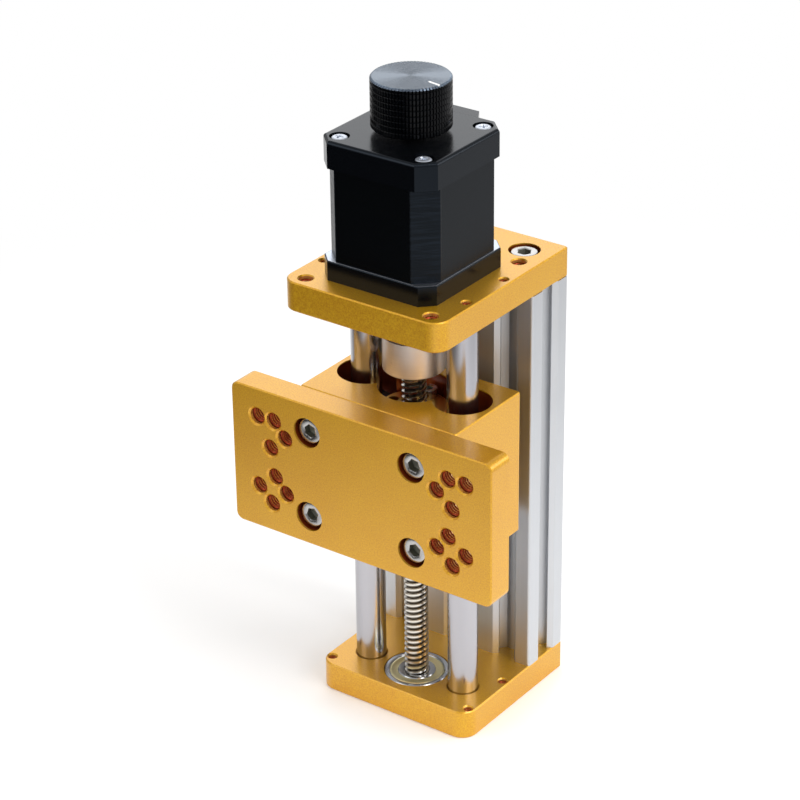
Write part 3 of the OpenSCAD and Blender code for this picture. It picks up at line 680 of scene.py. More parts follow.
class Finishes:
    """The finishes of this module."""

    # painted shade and painted highlight: thread roots darker and crests lighter than the gold,
    # for the light in tapped holes
    THREAD_ROOT_SHADE = BlastedAnodise("tapped thread root in painted shade", dye=rgb(140, 44, 8), pale=rgb(166, 62, 14),
                            roughness=0.4, coat=0.1)
    THREAD_CREST_HIGHLIGHT = BlastedAnodise("thread crest with painted highlight", dye=rgb(240, 180, 84), pale=rgb(250, 210, 130),
                           roughness=0.34, coat=0.6)
    RAIL = DrawnAluminium("drawn rail aluminium")
    CHROME = PolishedBar("chromed rod")
    SHAFT = PolishedBar("ground shaft", tone=rgb(206, 205, 204), roughness=0.16)
    THREAD = RolledThread("rolled lead screw")
    COUPLING = TurnedMetal("turned coupling aluminium", tone=rgb(242, 234, 230), roughness=0.46)
    STAINLESS = TurnedMetal("stainless screw", tone=rgb(190, 189, 188), roughness=0.26,
                            depth=0.003)
    # rougher as forged, and darker than the head as painted shade in the socket
    SHADED_SOCKET = TurnedMetal("forged socket in painted shade", tone=rgb(150, 150, 138), roughness=0.6)
    ZINC = TurnedMetal("zinc plated screw", tone=rgb(226, 232, 242), roughness=0.5, depth=0.004)
    RACE = TurnedMetal("bearing ring steel", tone=rgb(188, 190, 194), roughness=0.2, depth=0.002)
    BALL = PolishedBar("bearing ball", tone=rgb(220, 220, 222), roughness=0.07)
    SHIELD = TurnedMetal("tinted bearing shield", tone=rgb(244, 234, 186), roughness=0.4,
                         depth=0.003)
    BRASS = TurnedMetal("nut brass", tone=rgb(222, 178, 92), roughness=0.3)
    ENAMEL = Enamel("motor enamel")
    COPPER = Windings("copper winding")
    ROTOR = TurnedMetal("rotor steel", tone=rgb(120, 122, 126), roughness=0.4)
    MAGNET = Moulded("ground magnet", tone=rgb(60, 60, 64), roughness=0.35)
    RESIN = Moulded("cage resin", tone=rgb(66, 64, 60), roughness=0.45)
    RUBBER = Moulded("seal rubber", tone=rgb(20, 20, 20), roughness=0.55)
    HEADER = Moulded("ivory header", tone=rgb(228, 220, 196), roughness=0.42)
    PLATING = TurnedMetal("pin plating", tone=rgb(226, 186, 96), roughness=0.22, depth=0.001)


def span(node: str) -> tuple[Vector, Vector]:
    """Lowest and highest corner of a CAD node in millimetres."""
    low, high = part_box(node)
    return low / MM, high / MM


class Shape:
    """A mesh in the making, in millimetres."""

    def __init__(self) -> None:
        """Starts an empty mesh."""
        self.bm = bmesh.new()

    def close(self) -> "Shape":
        """Merges doubles and points the faces outwards.

        Returns:
            This shape.
        """
        bmesh.ops.remove_doubles(self.bm, verts=self.bm.verts, dist=WELD)
        bmesh.ops.dissolve_degenerate(self.bm, edges=self.bm.edges, dist=SLIVER)
        bmesh.ops.recalc_face_normals(self.bm, faces=self.bm.faces)
        return self

    def parts(self) -> list[Any]:
        """All its vertices, edges and faces."""
        return list(self.bm.verts) + list(self.bm.edges) + list(self.bm.faces)

    def chain(self, points: list[Point], closed: bool = False) -> list[Any]:
        """Adds a line of edges.

        Args:
            points: Its corners.
            closed: Whether the last joins the first.

        Returns:
            The vertices and edges.
        """
        verts = [self.bm.verts.new(point) for point in points]
        pairs = list(zip(verts, verts[1:]))
        if closed:
            pairs.append((verts[-1], verts[0]))
        return verts + [self.bm.edges.new(pair) for pair in pairs]

    def spin(self, parts: list[Any], steps: int, climb: float = 0.0, angle: float = math.tau,
             merge: bool = False) -> None:
        """Sweeps parts round the Z axis.

        Args:
            parts: The vertices, edges and faces that are swept.
            steps: Number of steps.
            climb: Rise with each step.
            angle: Angle of the sweep in radians.
            merge: Whether the last step joins the first.
        """
        bmesh.ops.spin(self.bm, geom=parts, cent=(0, 0, 0), axis=(0, 0, 1), dvec=(0, 0, climb),
                       angle=angle, steps=steps, use_merge=merge)

    def lathe(self, profile: Profile, closed: bool = False, steps: int = 64) -> "Shape":
        """Spins a profile round the Z axis.

        Args:
            profile: Radius and height of each corner.
            closed: Whether the profile is a closed ring.
            steps: Steps of the full turn.

        Returns:
            This shape.
        """
        line = self.chain([(radius, 0, height) for radius, height in profile], closed)
        self.spin(line, steps, merge=True)
        return self.close()

    def bar(self, radius: float, low: float, high: float, bevel: float,
            steps: int = 64) -> "Shape":
        """Adds a round bar with beveled ends that stands on the Z axis.

        Args:
            radius: Its radius.
            low: Height of the lower end.
            high: Height of the upper end.
            bevel: Width of the bevels.
            steps: Steps of the full turn.

        Returns:
            This shape.
        """
        return self.lathe([(0, low), (radius - bevel, low), (radius, low + bevel),
                           (radius, high - bevel), (radius - bevel, high), (0, high)],
                          steps=steps)

    def thread(self, crest: float, root: float, pitch: float, low: float, high: float,
               starts: int = 1, steps: int = 40) -> "Shape":
        """Adds a threaded bar that stands on the Z axis.

        Args:
            crest: Radius over the ridges.
            root: Radius between them.
            pitch: From one ridge to the next.
            low: Height of the lower end.
            high: Height of the upper end.
            starts: Number of threads side by side.
            steps: Steps of one turn.

        Returns:
            This shape.
        """
        nick = 0.15 * (crest - root)
        ridge = [(0.0, root), (0.26, root), (0.4, crest - nick), (0.44, crest),
                 (0.72, crest), (0.76, crest - nick), (0.9, root)]
        first = math.floor(low / pitch) - 2 * starts
        last = math.ceil(high / pitch) + 1
        line = [(radius, 0, (turn + share) * pitch)
                for turn in range(first, last) for share, radius in ridge]
        self.spin(self.chain(line), steps, climb=pitch * starts / steps)
        bmesh.ops.remove_doubles(self.bm, verts=self.bm.verts, dist=WELD)
        for height, up in ((low, -1), (high, 1)):
            cut = bmesh.ops.bisect_plane(self.bm, geom=self.parts(), dist=SLIVER,
                                         plane_co=(0, 0, height), plane_no=(0, 0, up),
                                         clear_outer=True)
            rim = [part for part in cut["geom_cut"] if isinstance(part, bmesh.types.BMEdge)]
            bmesh.ops.holes_fill(self.bm, edges=rim, sides=0)
        bmesh.ops.recalc_face_normals(self.bm, faces=self.bm.faces)
        return self

    def circle(self, segments: int, radius: float, height: float) -> list[Any]:
        """Adds a circle round the Z axis.

        Args:
            segments: Number of its corners.
            radius: Its radius.
            height: Its height.

        Returns:
            Its edges.
        """
        verts = bmesh.ops.create_circle(self.bm, cap_ends=False, segments=segments, radius=radius,
                                        matrix=at(0, 0, height))["verts"]
        return [edge for edge in self.bm.edges if edge.verts[0] in verts]

    def rings(self, loop: list[Any], levels: list[tuple[float, float]]) -> list[Any]:
        """Extrudes a loop of edges through levels round the Z axis.

        Args:
            loop: Edges of the loop.
            levels: For each level, the scale of the loop as it is and its new height.

        Returns:
            The edges of the last loop.
        """
        for scale, height in levels:
            made = bmesh.ops.extrude_edge_only(self.bm, edges=loop)["geom"]
            verts = [part for part in made if isinstance(part, bmesh.types.BMVert)]
            loop = [part for part in made if isinstance(part, bmesh.types.BMEdge)
                    and part.verts[0] in verts and part.verts[1] in verts]
            for vert in verts:
                vert.co = (vert.co.x * scale, vert.co.y * scale, height)
        return loop

    def fit(self, loop: list[Any], outline: Callable[[float], float]) -> list[Any]:
        """Moves the corners of a loop round the Z axis onto an outline.

        Args:
            loop: Edges of the loop.
            outline: The radius wanted at an angle in radians.

        Returns:
            The loop.
        """
        for vert in {vert for edge in loop for vert in edge.verts}:
            angle = math.atan2(vert.co.y, vert.co.x)
            radius = outline(angle)
            vert.co.xy = (radius * math.cos(angle), radius * math.sin(angle))
        return loop

    def stamp(self, other: "Shape", places: list[Matrix]) -> "Shape":
        """Adds copies of another shape.

        Args:
            other: The shape.
            places: Where each copy goes.

        Returns:
            This shape.
        """
        for place in places:
            mesh = bpy.data.meshes.new("copy")
            other.bm.to_mesh(mesh)
            mesh.transform(place)
            self.bm.from_mesh(mesh)
            bpy.data.meshes.remove(mesh)
        return self

    def shank(self, radius: float, pitch: float, length: float, steps: int) -> "Shape":
        """Adds the threaded shank of a screw, which points down from height 0.

        Args:
            radius: Its radius.
            pitch: From one ridge to the next.
            length: Its length under the head.
            steps: Steps of one turn.

        Returns:
            This shape.
        """
        bar = Shape().thread(radius, radius - 0.6 * pitch, pitch, -length, 0.1, steps=steps)
        return self.stamp(bar, [Matrix.Identity(4)])

    def mark(self, chosen: Callable[[Vector], bool]) -> "Shape":
        """Gives some faces the second finish of the piece.

        Args:
            chosen: Whether the face with this middle is one of them.

        Returns:
            This shape.
        """
        for face in self.bm.faces:
            if chosen(face.calc_center_median()):
                face.material_index = 1
        return self

    def piece(self, name: str, finish: Finish, body: Body, slot: Slot,
              nodes: tuple[str, ...] = (), crease: float = 32.0,
              second: Finish | None = None) -> bpy.types.Object:
        """Makes the shape an object that rides on a body.

        Args:
            name: The object's name.
            finish: Its finish.
            body: The body that carries it.
            slot: The record's material slot; not used.
            nodes: CAD nodes that it stands for.
            crease: Angle from which an edge stays sharp, in degrees.
            second: Finish of the marked faces.

        Returns:
            The object.
        """
        mesh = bpy.data.meshes.new(name)
        bmesh.ops.scale(self.bm, vec=(MM, MM, MM), verts=self.bm.verts)
        self.bm.to_mesh(mesh)
        self.bm.free()
        mesh.shade_smooth()
        mesh.set_sharp_from_angle(angle=math.radians(crease))
        mesh.materials.append(finish.material())
        if second:
            mesh.materials.append(second.material())
        made = put(name, mesh)
        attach(made, body.value)
        if nodes:
            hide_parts(*nodes)
        log.info("%s: %d faces", name, len(mesh.polygons))
        return made


def put(name: str, data: Any) -> bpy.types.Object:
    """Makes an object of a mesh, a lamp or a camera.

    Args:
        name: The object's name.
        data: What it shows.

    Returns:
        The object, in the scene.
    """
    made = bpy.data.objects.new(name, data)
    bpy.context.scene.collection.objects.link(made)
    return made


def dress(finish: Finish, *nodes: str) -> None:
    """Gives CAD nodes a finish.

    Args:
        finish: The finish.
        nodes: Names of the nodes.
    """
    for node in nodes:
        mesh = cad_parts[node].data
        mesh.materials.clear()
        mesh.materials.append(finish.material())
        log.info("%s: %s", node, finish.name)


def gild(node: str, margin: Point) -> None:
    """Gives a CAD node the gold finish, with painted shade darkening its bores.

    Args:
        node: Name of the node.
        margin: How far inside the box the bores start, along each axis.
    """
    low, high = span(node)
    finish = BlastedAnodise("gold anodise of the " + node.replace("_", " "),
                            middle=tuple((low + high) / 2), half=tuple((high - low) / 2),
                            margin=margin)
    dress(finish, node)


def at(x: float, y: float, z: float) -> Matrix:
    """A place without a turn."""
    return Matrix.Translation((x, y, z))


def turned(axis: str, degrees: float) -> Matrix:
    """A turn about X, Y or Z."""
    return Matrix.Rotation(math.radians(degrees), 4, axis)


def four(x: float, y: float, z: float) -> list[Matrix]:
    """The four places at plus and minus x and y."""
    return [at(sx * x, sy * y, z) for sx in (-1, 1) for sy in (-1, 1)]


@dataclass(frozen=True)
class SocketScrew:
    """Socket screw with its head seat at height 0 and its shank pointing down."""

    shank: float
    head: float
    head_height: float
    socket: float
    pitch: float
    length: float
    edge: float = 0.35
    sunk: float = 0.5
    segments: int = 48

    def hexagon(self, angle: float) -> float:
        """Radius of the socket's hexagon at an angle."""
        sector = math.tau / 6
        return self.socket / 2 / math.cos(angle % sector - sector / 2)

    def shape(self) -> Shape:
        """Builds the screw.

        Returns:
            The shape, at the origin.
        """
        made = Shape()
        top, edge, radius = self.head_height, self.edge, self.head / 2
        mouth = self.socket / 2 / math.cos(math.pi / 6) + 0.9 * edge
        rim = made.circle(self.segments, radius - edge, top)
        inner = made.rings(rim, [(mouth / (radius - edge), top), (1.0, top - 0.6 * edge)])
        made.fit(inner, self.hexagon)
        made.rings(inner, [(1.0, top * self.sunk), (0.5, top * (self.sunk - 0.06)),
                           (0.02, top * (self.sunk - 0.1))])
        side = made.rings(rim, [
            ((radius - 0.3 * edge) / (radius - edge), top - 0.3 * edge),
            (radius / (radius - 0.3 * edge), top - edge), (1.0, 0.5 * edge),
            (1 - 0.5 * edge / radius, 0.0)])
        made.rings(side, [(0.2, 0.0), (0.02, 0.0)])
        # the socket's walls and floor take the second finish: rougher as forged, darker as painted
        # shade
        made.close().mark(lambda spot: spot.z > 0.3 * top and spot.xy.length < mouth
                          and spot.z < top - 0.7 * edge)
        return made.shank(self.shank / 2, self.pitch, self.length, 24)

    def fasten(self, places: list[Matrix], name: str, body: Body, node: str) -> None:
        """Puts the screw at places, for a CAD node.

        Args:
            places: Where each screw goes.
            name: The object's name.
            body: The body that carries the screws.
            node: The CAD node that they stand for.
        """
        Shape().stamp(self.shape(), places).piece(
            name, Finishes.STAINLESS, body, Slot.FASTENER, (node,), second=Finishes.SHADED_SOCKET)


@dataclass(frozen=True)
class PanScrew:
    """Pan head screw with a cross recess, its head seat at height 0."""

    shank: float = 3.0
    head: float = 5.4
    head_height: float = 2.1
    recess: float = 2.9
    slot: float = 0.75
    pitch: float = 0.5
    length: float = 20.0
    flat_share: float = 0.34
    drop: float = 0.9
    bulge: int = 5
    segments: int = 48

    def cross(self, angle: float) -> float:
        """Radius of the recess at an angle."""
        part = (angle + math.pi / 4) % (math.pi / 2) - math.pi / 4
        return min(self.recess / 2 / math.cos(part),
                   self.slot / 2 / max(abs(math.sin(part)), 1e-6))

    def shape(self) -> Shape:
        """Builds the screw.

        Returns:
            The shape, at the origin.
        """
        made = Shape()
        top, flat = self.head_height, self.head * self.flat_share
        rim = made.circle(self.segments, flat, top)
        mouth = made.fit(made.rings(rim, [(0.9, top)]), self.cross)
        made.rings(mouth, [(0.96, top - 0.08), (0.72, top - 1.1), (0.02, top - 1.35)])
        levels, previous = [], flat
        for step in range(1, self.bulge + 1):
            angle = step / self.bulge * math.pi / 2
            radius = flat + (self.head / 2 - flat) * math.sin(angle)
            levels.append((radius / previous, top - self.drop * (1 - math.cos(angle))))
            previous = radius
        made.rings(rim, levels + [(1.0, 0.1), (0.98, 0.0), (0.2, 0.0), (0.02, 0.0)])
        made.close()
        return made.shank(self.shank / 2, self.pitch, self.length, 20)


@dataclass(frozen=True)
class TappedThread:
    """The wall of a tapped hole, plain at its mouth and ridged below, from height 0 down."""

    bore: float
    pitch: float
    depth: float
    relief: float = 0.35
    skin: float = 0.02
    mouth: float = 0.6
    plain: float = 1.5
    land: tuple[float, float] = (0.35, 0.65)
    steps: int = 24

    def shape(self) -> Shape:
        """Builds the ridges as a thin helical lining, below a plain sleeve.

        Returns:
            The shape, at the origin.
        """
        made = Shape()
        wall = self.bore / 2
        line = []
        turns = math.floor(self.depth / self.pitch - self.plain - 1)
        for turn in range(turns):
            base = -(turn + self.plain) * self.pitch
            line.append((wall - self.skin, 0, base))
            line += [(wall - self.relief, 0, base - self.pitch * share) for share in self.land]
        line.append((wall - self.skin, 0, -(turns + self.plain) * self.pitch))
        made.spin(made.chain(line), self.steps, climb=-self.pitch / self.steps)
        sleeve = made.chain([(wall - self.skin, 0, -self.mouth * self.pitch),
                             (wall - self.skin, 0, -self.plain * self.pitch)])
        made.spin(sleeve, self.steps, merge=True)
        bmesh.ops.remove_doubles(made.bm, verts=made.bm.verts, dist=WELD)
        for face in made.bm.faces:
            face.normal_update()
            if face.normal.dot(face.calc_center_median().xy.to_3d()) > 0:
                face.normal_flip()
        # the crests and the plain mouth take the second finish, a painted highlight; the roots
        # keep the first, a painted shade
        return made.mark(lambda spot: spot.xy.length < wall - 0.75 * self.relief
                         or spot.z > -self.plain * self.pitch)


@dataclass
class EndPlates:
    """Base plate and top plate, their tapped holes and the screws of the rail."""

    m5: SocketScrew = SocketScrew(5.0, 8.5, 5.0, 4.0, 0.8, 16.0)
    small_thread: TappedThread = TappedThread(2.5, 0.5, 10.0, 0.16)
    large_thread: TappedThread = TappedThread(4.2, 0.8, 10.0, 0.25)
    top_edge: float = 3.0
    base_edge: float = 2.4
    side_y: float = 10.0
    large_half: float = 23.57
    margin: Point = (3.2, 3.2, 0.25)

    def build(self) -> None:
        """Dresses both plates and makes what is screwed into them."""
        for node, edge in (("base_plate", self.base_edge), ("top_plate", self.top_edge)):
            gild(node, self.margin)
            low, high = span(node)
            threads = Shape().stamp(self.small_thread.shape(),
                                    four(high.x - edge, self.side_y, high.z))
            if node == "top_plate":
                threads.stamp(self.large_thread.shape(),
                              four(self.large_half, self.large_half, high.z))
            threads.piece(node + "_threads", Finishes.THREAD_ROOT_SHADE, Body.FRAME, Slot.GOLD,
                          second=Finishes.THREAD_CREST_HIGHLIGHT)
        self.rail_screws()

    def rail_screws(self) -> None:
        """The screws through both plates into the rail, with their heads outside."""
        for node, turn in (("rail_screws_top", 0), ("rail_screws_base", 180)):
            low, high = span(node)
            x, y = high.x - self.m5.head / 2, (low.y + high.y) / 2
            seat = low.z + self.m5.head_height if turn else high.z - self.m5.head_height
            self.m5.fasten([at(side * x, y, seat) @ turned("X", turn) for side in (-1, 1)],
                           node + "_heads", Body.FRAME, node)


@dataclass
class GuideRods:
    """The two chromed rods."""

    bevel: float = 0.5
    steps: int = 128

    def build(self) -> None:
        """Makes both rods."""
        for side in ("left", "right"):
            node = "guide_rod_" + side
            low, high = span(node)
            rod = Shape().bar((high.x - low.x) / 2, low.z, high.z, self.bevel, self.steps)
            placed = Shape().stamp(rod, [at((low.x + high.x) / 2, 0, 0)])
            placed.piece("chromed_rod_" + side, Finishes.CHROME, Body.FRAME, Slot.CHROME, (node,))


@dataclass
class LeadScrew:
    """The lead screw with its two-start thread."""

    pitch: float = 2.0
    starts: int = 2
    root: float = 3.05
    steps: int = 48

    def build(self) -> None:
        """Makes the threaded bar."""
        low, high = span("lead_screw")
        bar = Shape().thread(high.x, self.root, self.pitch, low.z, high.z, self.starts, self.steps)
        bar.piece("lead_screw_thread", Finishes.THREAD, Body.SCREW, Slot.SCREW, ("lead_screw",))


@dataclass
class BaseBearing:
    """The ball bearing at the screw's foot, with pressed shields and their snap ring."""

    bevel: float = 0.4
    steps: int = 96
    ring_wire: float = 0.32
    ring_gap: float = 22.0
    ring_turn: float = 30.0
    ring_out: float = 0.12
    ring_drop: float = 0.42
    shield_in: float = 5.9
    shield_out: float = 9.2
    inner_rim: tuple[tuple[float, float], ...] = ((0, -0.55), (0.25, -0.35), (0.7, -0.3))
    outer_rim: tuple[tuple[float, float], ...] = (
        (-1.2, -0.3), (-0.95, -0.12), (-0.45, -0.1), (-0.25, -0.28), (-0.05, -0.5))
    sheet: float = 0.25
    bore: float = 4.05
    lip: float = 0.45
    lip_drop: float = 0.6

    def build(self) -> None:
        """Makes the rings, shields and snap ring, and dresses what is inside."""
        low, high = span("base_bearing_outer")
        outer, top, bottom = high.x, high.z, low.z
        seat = self.shield_out
        edge = self.bevel
        ring = Shape().lathe([
            (seat, bottom), (outer - edge, bottom), (outer, bottom + edge), (outer, top - edge),
            (outer - edge, top), (seat + 0.5, top), (seat + 0.35, top - 0.12),
            (seat, top - 0.5), (seat - self.lip, top - self.lip_drop),
            (seat - self.lip, bottom + self.lip_drop)],
            closed=True, steps=self.steps)
        ring.piece("base_bearing_race", Finishes.RACE, Body.FRAME, Slot.BEARING,
                   ("base_bearing_outer",))
        bore, rim, nick = self.bore, span("base_bearing_inner")[1].x, 0.25
        inner = Shape().lathe([
            (bore, bottom + edge), (bore + edge, bottom), (rim - nick, bottom),
            (rim, bottom + nick), (rim, top - nick), (rim - nick, top), (bore + edge, top),
            (bore, top - edge)], closed=True)
        inner.piece("base_bearing_inner_race", Finishes.RACE, Body.SCREW, Slot.BEARING,
                    ("base_bearing_inner",))
        self.shields(top, bottom)
        dress(Finishes.BALL, "base_bearing_balls")
        dress(Finishes.RACE, "base_bearing_cage")

    def shields(self, top: float, bottom: float) -> None:
        """Makes both shields with a raised rim, and the snap ring over the upper one.

        Args:
            top: Height of the bearing's upper face.
            bottom: Height of its lower face.
        """
        near, far = self.shield_in, self.shield_out
        upper = [(near + out, height) for out, height in self.inner_rim]
        upper += [(far + out, height) for out, height in self.outer_rim]
        under = [(radius, height - self.sheet) for radius, height in reversed(upper)]
        plate = Shape().lathe(upper + under, closed=True, steps=self.steps)
        pair = Shape().stamp(plate, [at(0, 0, top), at(0, 0, bottom) @ turned("X", 180)])
        pair.close()
        pair.piece("base_bearing_shield_plates", Finishes.SHIELD, Body.FRAME, Slot.SHIELD,
                   ("base_bearing_shields",), crease=50)
        wire = Shape()
        place = at(far + self.ring_out, 0, top - self.ring_drop) @ turned("X", 90)
        bmesh.ops.create_circle(wire.bm, cap_ends=True, segments=10, radius=self.ring_wire,
                                matrix=place)
        wire.spin(wire.parts(), 72, angle=math.radians(360 - self.ring_gap))
        wire.close()
        snap = Shape().stamp(wire, [turned("Z", self.ring_turn)])
        snap.piece("base_bearing_snap_ring", Finishes.RACE, Body.FRAME, Slot.BEARING)


@dataclass
class Carriage:
    """Block, tool plate, lead nut and the bearings inside the block."""

    m5: SocketScrew = SocketScrew(5.0, 8.5, 5.0, 4.0, 0.8, 12.0)
    m3: SocketScrew = SocketScrew(3.0, 5.5, 3.0, 2.5, 0.5, 10.0, 0.25)
    tool_thread: TappedThread = TappedThread(5.6, 1.0, 10.0, 0.4)
    tool_holes: tuple[tuple[float, float], ...] = (
        (40, 15), (33.5, 15), (29.2, 10), (35, 5), (33.5, -5), (29.2, -10), (40, -10), (35, -15))
    shell_groove: float = 22.0
    shell_wall: float = 1.07
    shell_bevel: float = 0.3
    groove_half: float = 0.65
    groove_deep: float = 0.5
    seal: tuple[float, float] = (8.37, 1.5)
    screw_turns: tuple[float, ...] = (12.0, 40.0, 23.0, 51.0)
    block_margin: Point = (1.2, 1.2, 0.25)
    plate_margin: Point = (1.5, 0.6, 1.5)

    def build(self) -> None:
        """Dresses the block, the plate and the nut, and makes what they hold."""
        gild("carriage_block", self.block_margin)
        gild("tool_plate", self.plate_margin)
        dress(Finishes.BRASS, "lead_nut")
        self.plate_threads()
        self.screws()
        self.linear_bearings()

    def plate_threads(self) -> None:
        """The tapped accessory holes of the tool plate."""
        low, high = span("tool_plate")
        middle = (low.z + high.z) / 2
        face = turned("X", 90)
        places = [at(side * x, low.y, middle + z) @ face
                  for side in (-1, 1) for x, z in self.tool_holes]
        Shape().stamp(self.tool_thread.shape(), places).piece(
            "tool_plate_threads", Finishes.THREAD_ROOT_SHADE, Body.CARRIAGE, Slot.GOLD,
            second=Finishes.THREAD_CREST_HIGHLIGHT)

    def screws(self) -> None:
        """The screws of the tool plate and of the nut."""
        low, high = span("tool_plate_screws")
        x, z = high.x - self.m5.head / 2, (high.z - low.z - self.m5.head) / 2
        middle, seat = (low.z + high.z) / 2, low.y + self.m5.head_height
        places = [at(sx * x, seat, middle + sz * z) @ turned("X", 90) @ turned("Z", angle)
                  for (sx, sz), angle in zip(((-1, -1), (-1, 1), (1, -1), (1, 1)),
                                           self.screw_turns)]
        self.m5.fasten(places, "tool_plate_socket_screws", Body.CARRIAGE, "tool_plate_screws")
        low, high = span("lead_nut_screws")
        y, seat = high.y - self.m3.head / 2, high.z - self.m3.head_height
        self.m3.fasten([at(0, -y, seat), at(0, y, seat)], "lead_nut_socket_screws",
                       Body.CARRIAGE, "lead_nut_screws")

    def linear_bearings(self) -> None:
        """Shells with their snap ring grooves, and seals with a lip on the rod."""
        for side in ("left", "right"):
            node = "linear_bearing_" + side
            low, high = span(node)
            outer, middle = (high.x - low.x) / 2, (low.z + high.z) / 2
            inner, half, edge = outer - self.shell_wall, (high.z - low.z) / 2, self.shell_bevel
            groove, wide, deep = self.shell_groove / 2, self.groove_half, self.groove_deep
            profile = [(inner, -half), (outer - edge, -half), (outer, -half + edge)]
            for height in (-groove, groove):
                profile += [(outer, height - wide), (outer - deep, height - wide),
                            (outer - deep, height + wide), (outer, height + wide)]
            profile += [(outer, half - edge), (outer - edge, half), (inner, half)]
            place = at((low.x + high.x) / 2, 0, middle)
            Shape().stamp(Shape().lathe(profile, closed=True), [place]).piece(
                "bushing_shell_" + side, Finishes.RACE, Body.CARRIAGE, Slot.BEARING, (node,))
        low, high = span("linear_bearing_seals")
        outer, thick = self.seal
        rod_x = high.x - outer
        lip = [(5.06, 0.2), (5.3, 0.05), (5.9, 0.3), (6.4, 0), (outer, 0), (outer, thick),
               (6.4, thick), (5.9, thick - 0.25), (5.3, thick - 0.05), (5.06, thick - 0.2)]
        seal = Shape().lathe(lip, closed=True)
        places = [at(side * rod_x, 0, z) for side in (-1, 1) for z in (low.z, high.z - thick)]
        Shape().stamp(seal, places).piece(
            "bushing_seals", Finishes.RUBBER, Body.CARRIAGE, Slot.SEAL, ("linear_bearing_seals",))
        dress(Finishes.RESIN, "linear_bearing_cages")
        dress(Finishes.BALL, "linear_bearing_balls")


@dataclass
class Coupling:
    """The clamp coupling and its screws."""

    clamp: SocketScrew = SocketScrew(3.0, 5.5, 2.6, 2.5, 0.5, 8.0, 0.25)
    turn: float = 225.0
    clamp_x: float = 6.6
    seat: float = 2.6
    edge: float = 5.0

    def build(self) -> None:
        """Dresses the coupling and makes its clamp screws."""
        dress(Finishes.COUPLING, "coupling")
        low, high = span("coupling")
        places = [turned("Z", self.turn) @ at(self.clamp_x, 0, z) @ turned("X", 90)
                  @ at(0, 0, self.seat) for z in (low.z + self.edge, high.z - self.edge)]
        self.clamp.fasten(places, "coupling_clamp_screws", Body.SCREW, "coupling_screws")


@dataclass
class Motor:
    """The stepper motor: bells, stator, screws and what is inside."""

    screw_half: float = 15.5
    bevel: float = 0.5
    corner_margin: float = 0.5
    pan_turns: tuple[float, ...] = (8.0, 31.0, 64.0, 47.0)
    mount: SocketScrew = SocketScrew(3.0, 5.5, 2.8, 2.5, 0.5, 11.0, 0.25)

    def build(self) -> None:
        """Dresses the housing and makes the screws and the shaft."""
        low, high = span("motor_front_bell")
        dress(Enamel("motor enamel with a machined face", bare_from=high.z), "motor_front_bell")
        dress(Finishes.ENAMEL, "motor_rear_bell")
        corner = max(abs(vert.co.x) + abs(vert.co.y)
                     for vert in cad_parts["motor_stator"].data.vertices) / MM
        dress(Laminations("painted laminations", corner=corner - self.corner_margin),
              "motor_stator")
        dress(Finishes.COPPER, "stator_coils")
        dress(Finishes.ROTOR, "rotor_cups")
        dress(Finishes.MAGNET, "rotor_magnet")
        dress(Finishes.HEADER, "motor_connector")
        dress(Finishes.PLATING, "connector_pins")
        dress(Finishes.RACE, "motor_bearing_outers", "motor_bearing_inners", "preload_washer")
        dress(Finishes.BALL, "motor_bearing_balls")
        self.screws()
        self.shaft()

    def screws(self) -> None:
        """The case screws at the top and the mounting screws under the top plate."""
        low, high = span("motor_case_screws")
        pan = PanScrew(length=high.z - PanScrew().head_height - low.z)
        seat, half = high.z - pan.head_height, self.screw_half
        places = [place @ turned("Z", angle)
                  for place, angle in zip(four(half, half, seat), self.pan_turns)]
        Shape().stamp(pan.shape(), places).piece(
            "motor_pan_screws", Finishes.ZINC, Body.FRAME, Slot.FASTENER, ("motor_case_screws",))
        low, high = span("motor_mount_screws")
        seat = low.z + self.mount.head_height
        places = [place @ turned("X", 180) for place in four(half, half, seat)]
        self.mount.fasten(places, "motor_mount_socket_screws", Body.FRAME,
                          "motor_mount_screws")

    def shaft(self) -> None:
        """The motor shaft with its beveled ends."""
        low, high = span("motor_shaft")
        Shape().bar(high.x, low.z, high.z, self.bevel).piece(
            "ground_motor_shaft", Finishes.SHAFT, Body.SCREW, Slot.SHAFT, ("motor_shaft",))


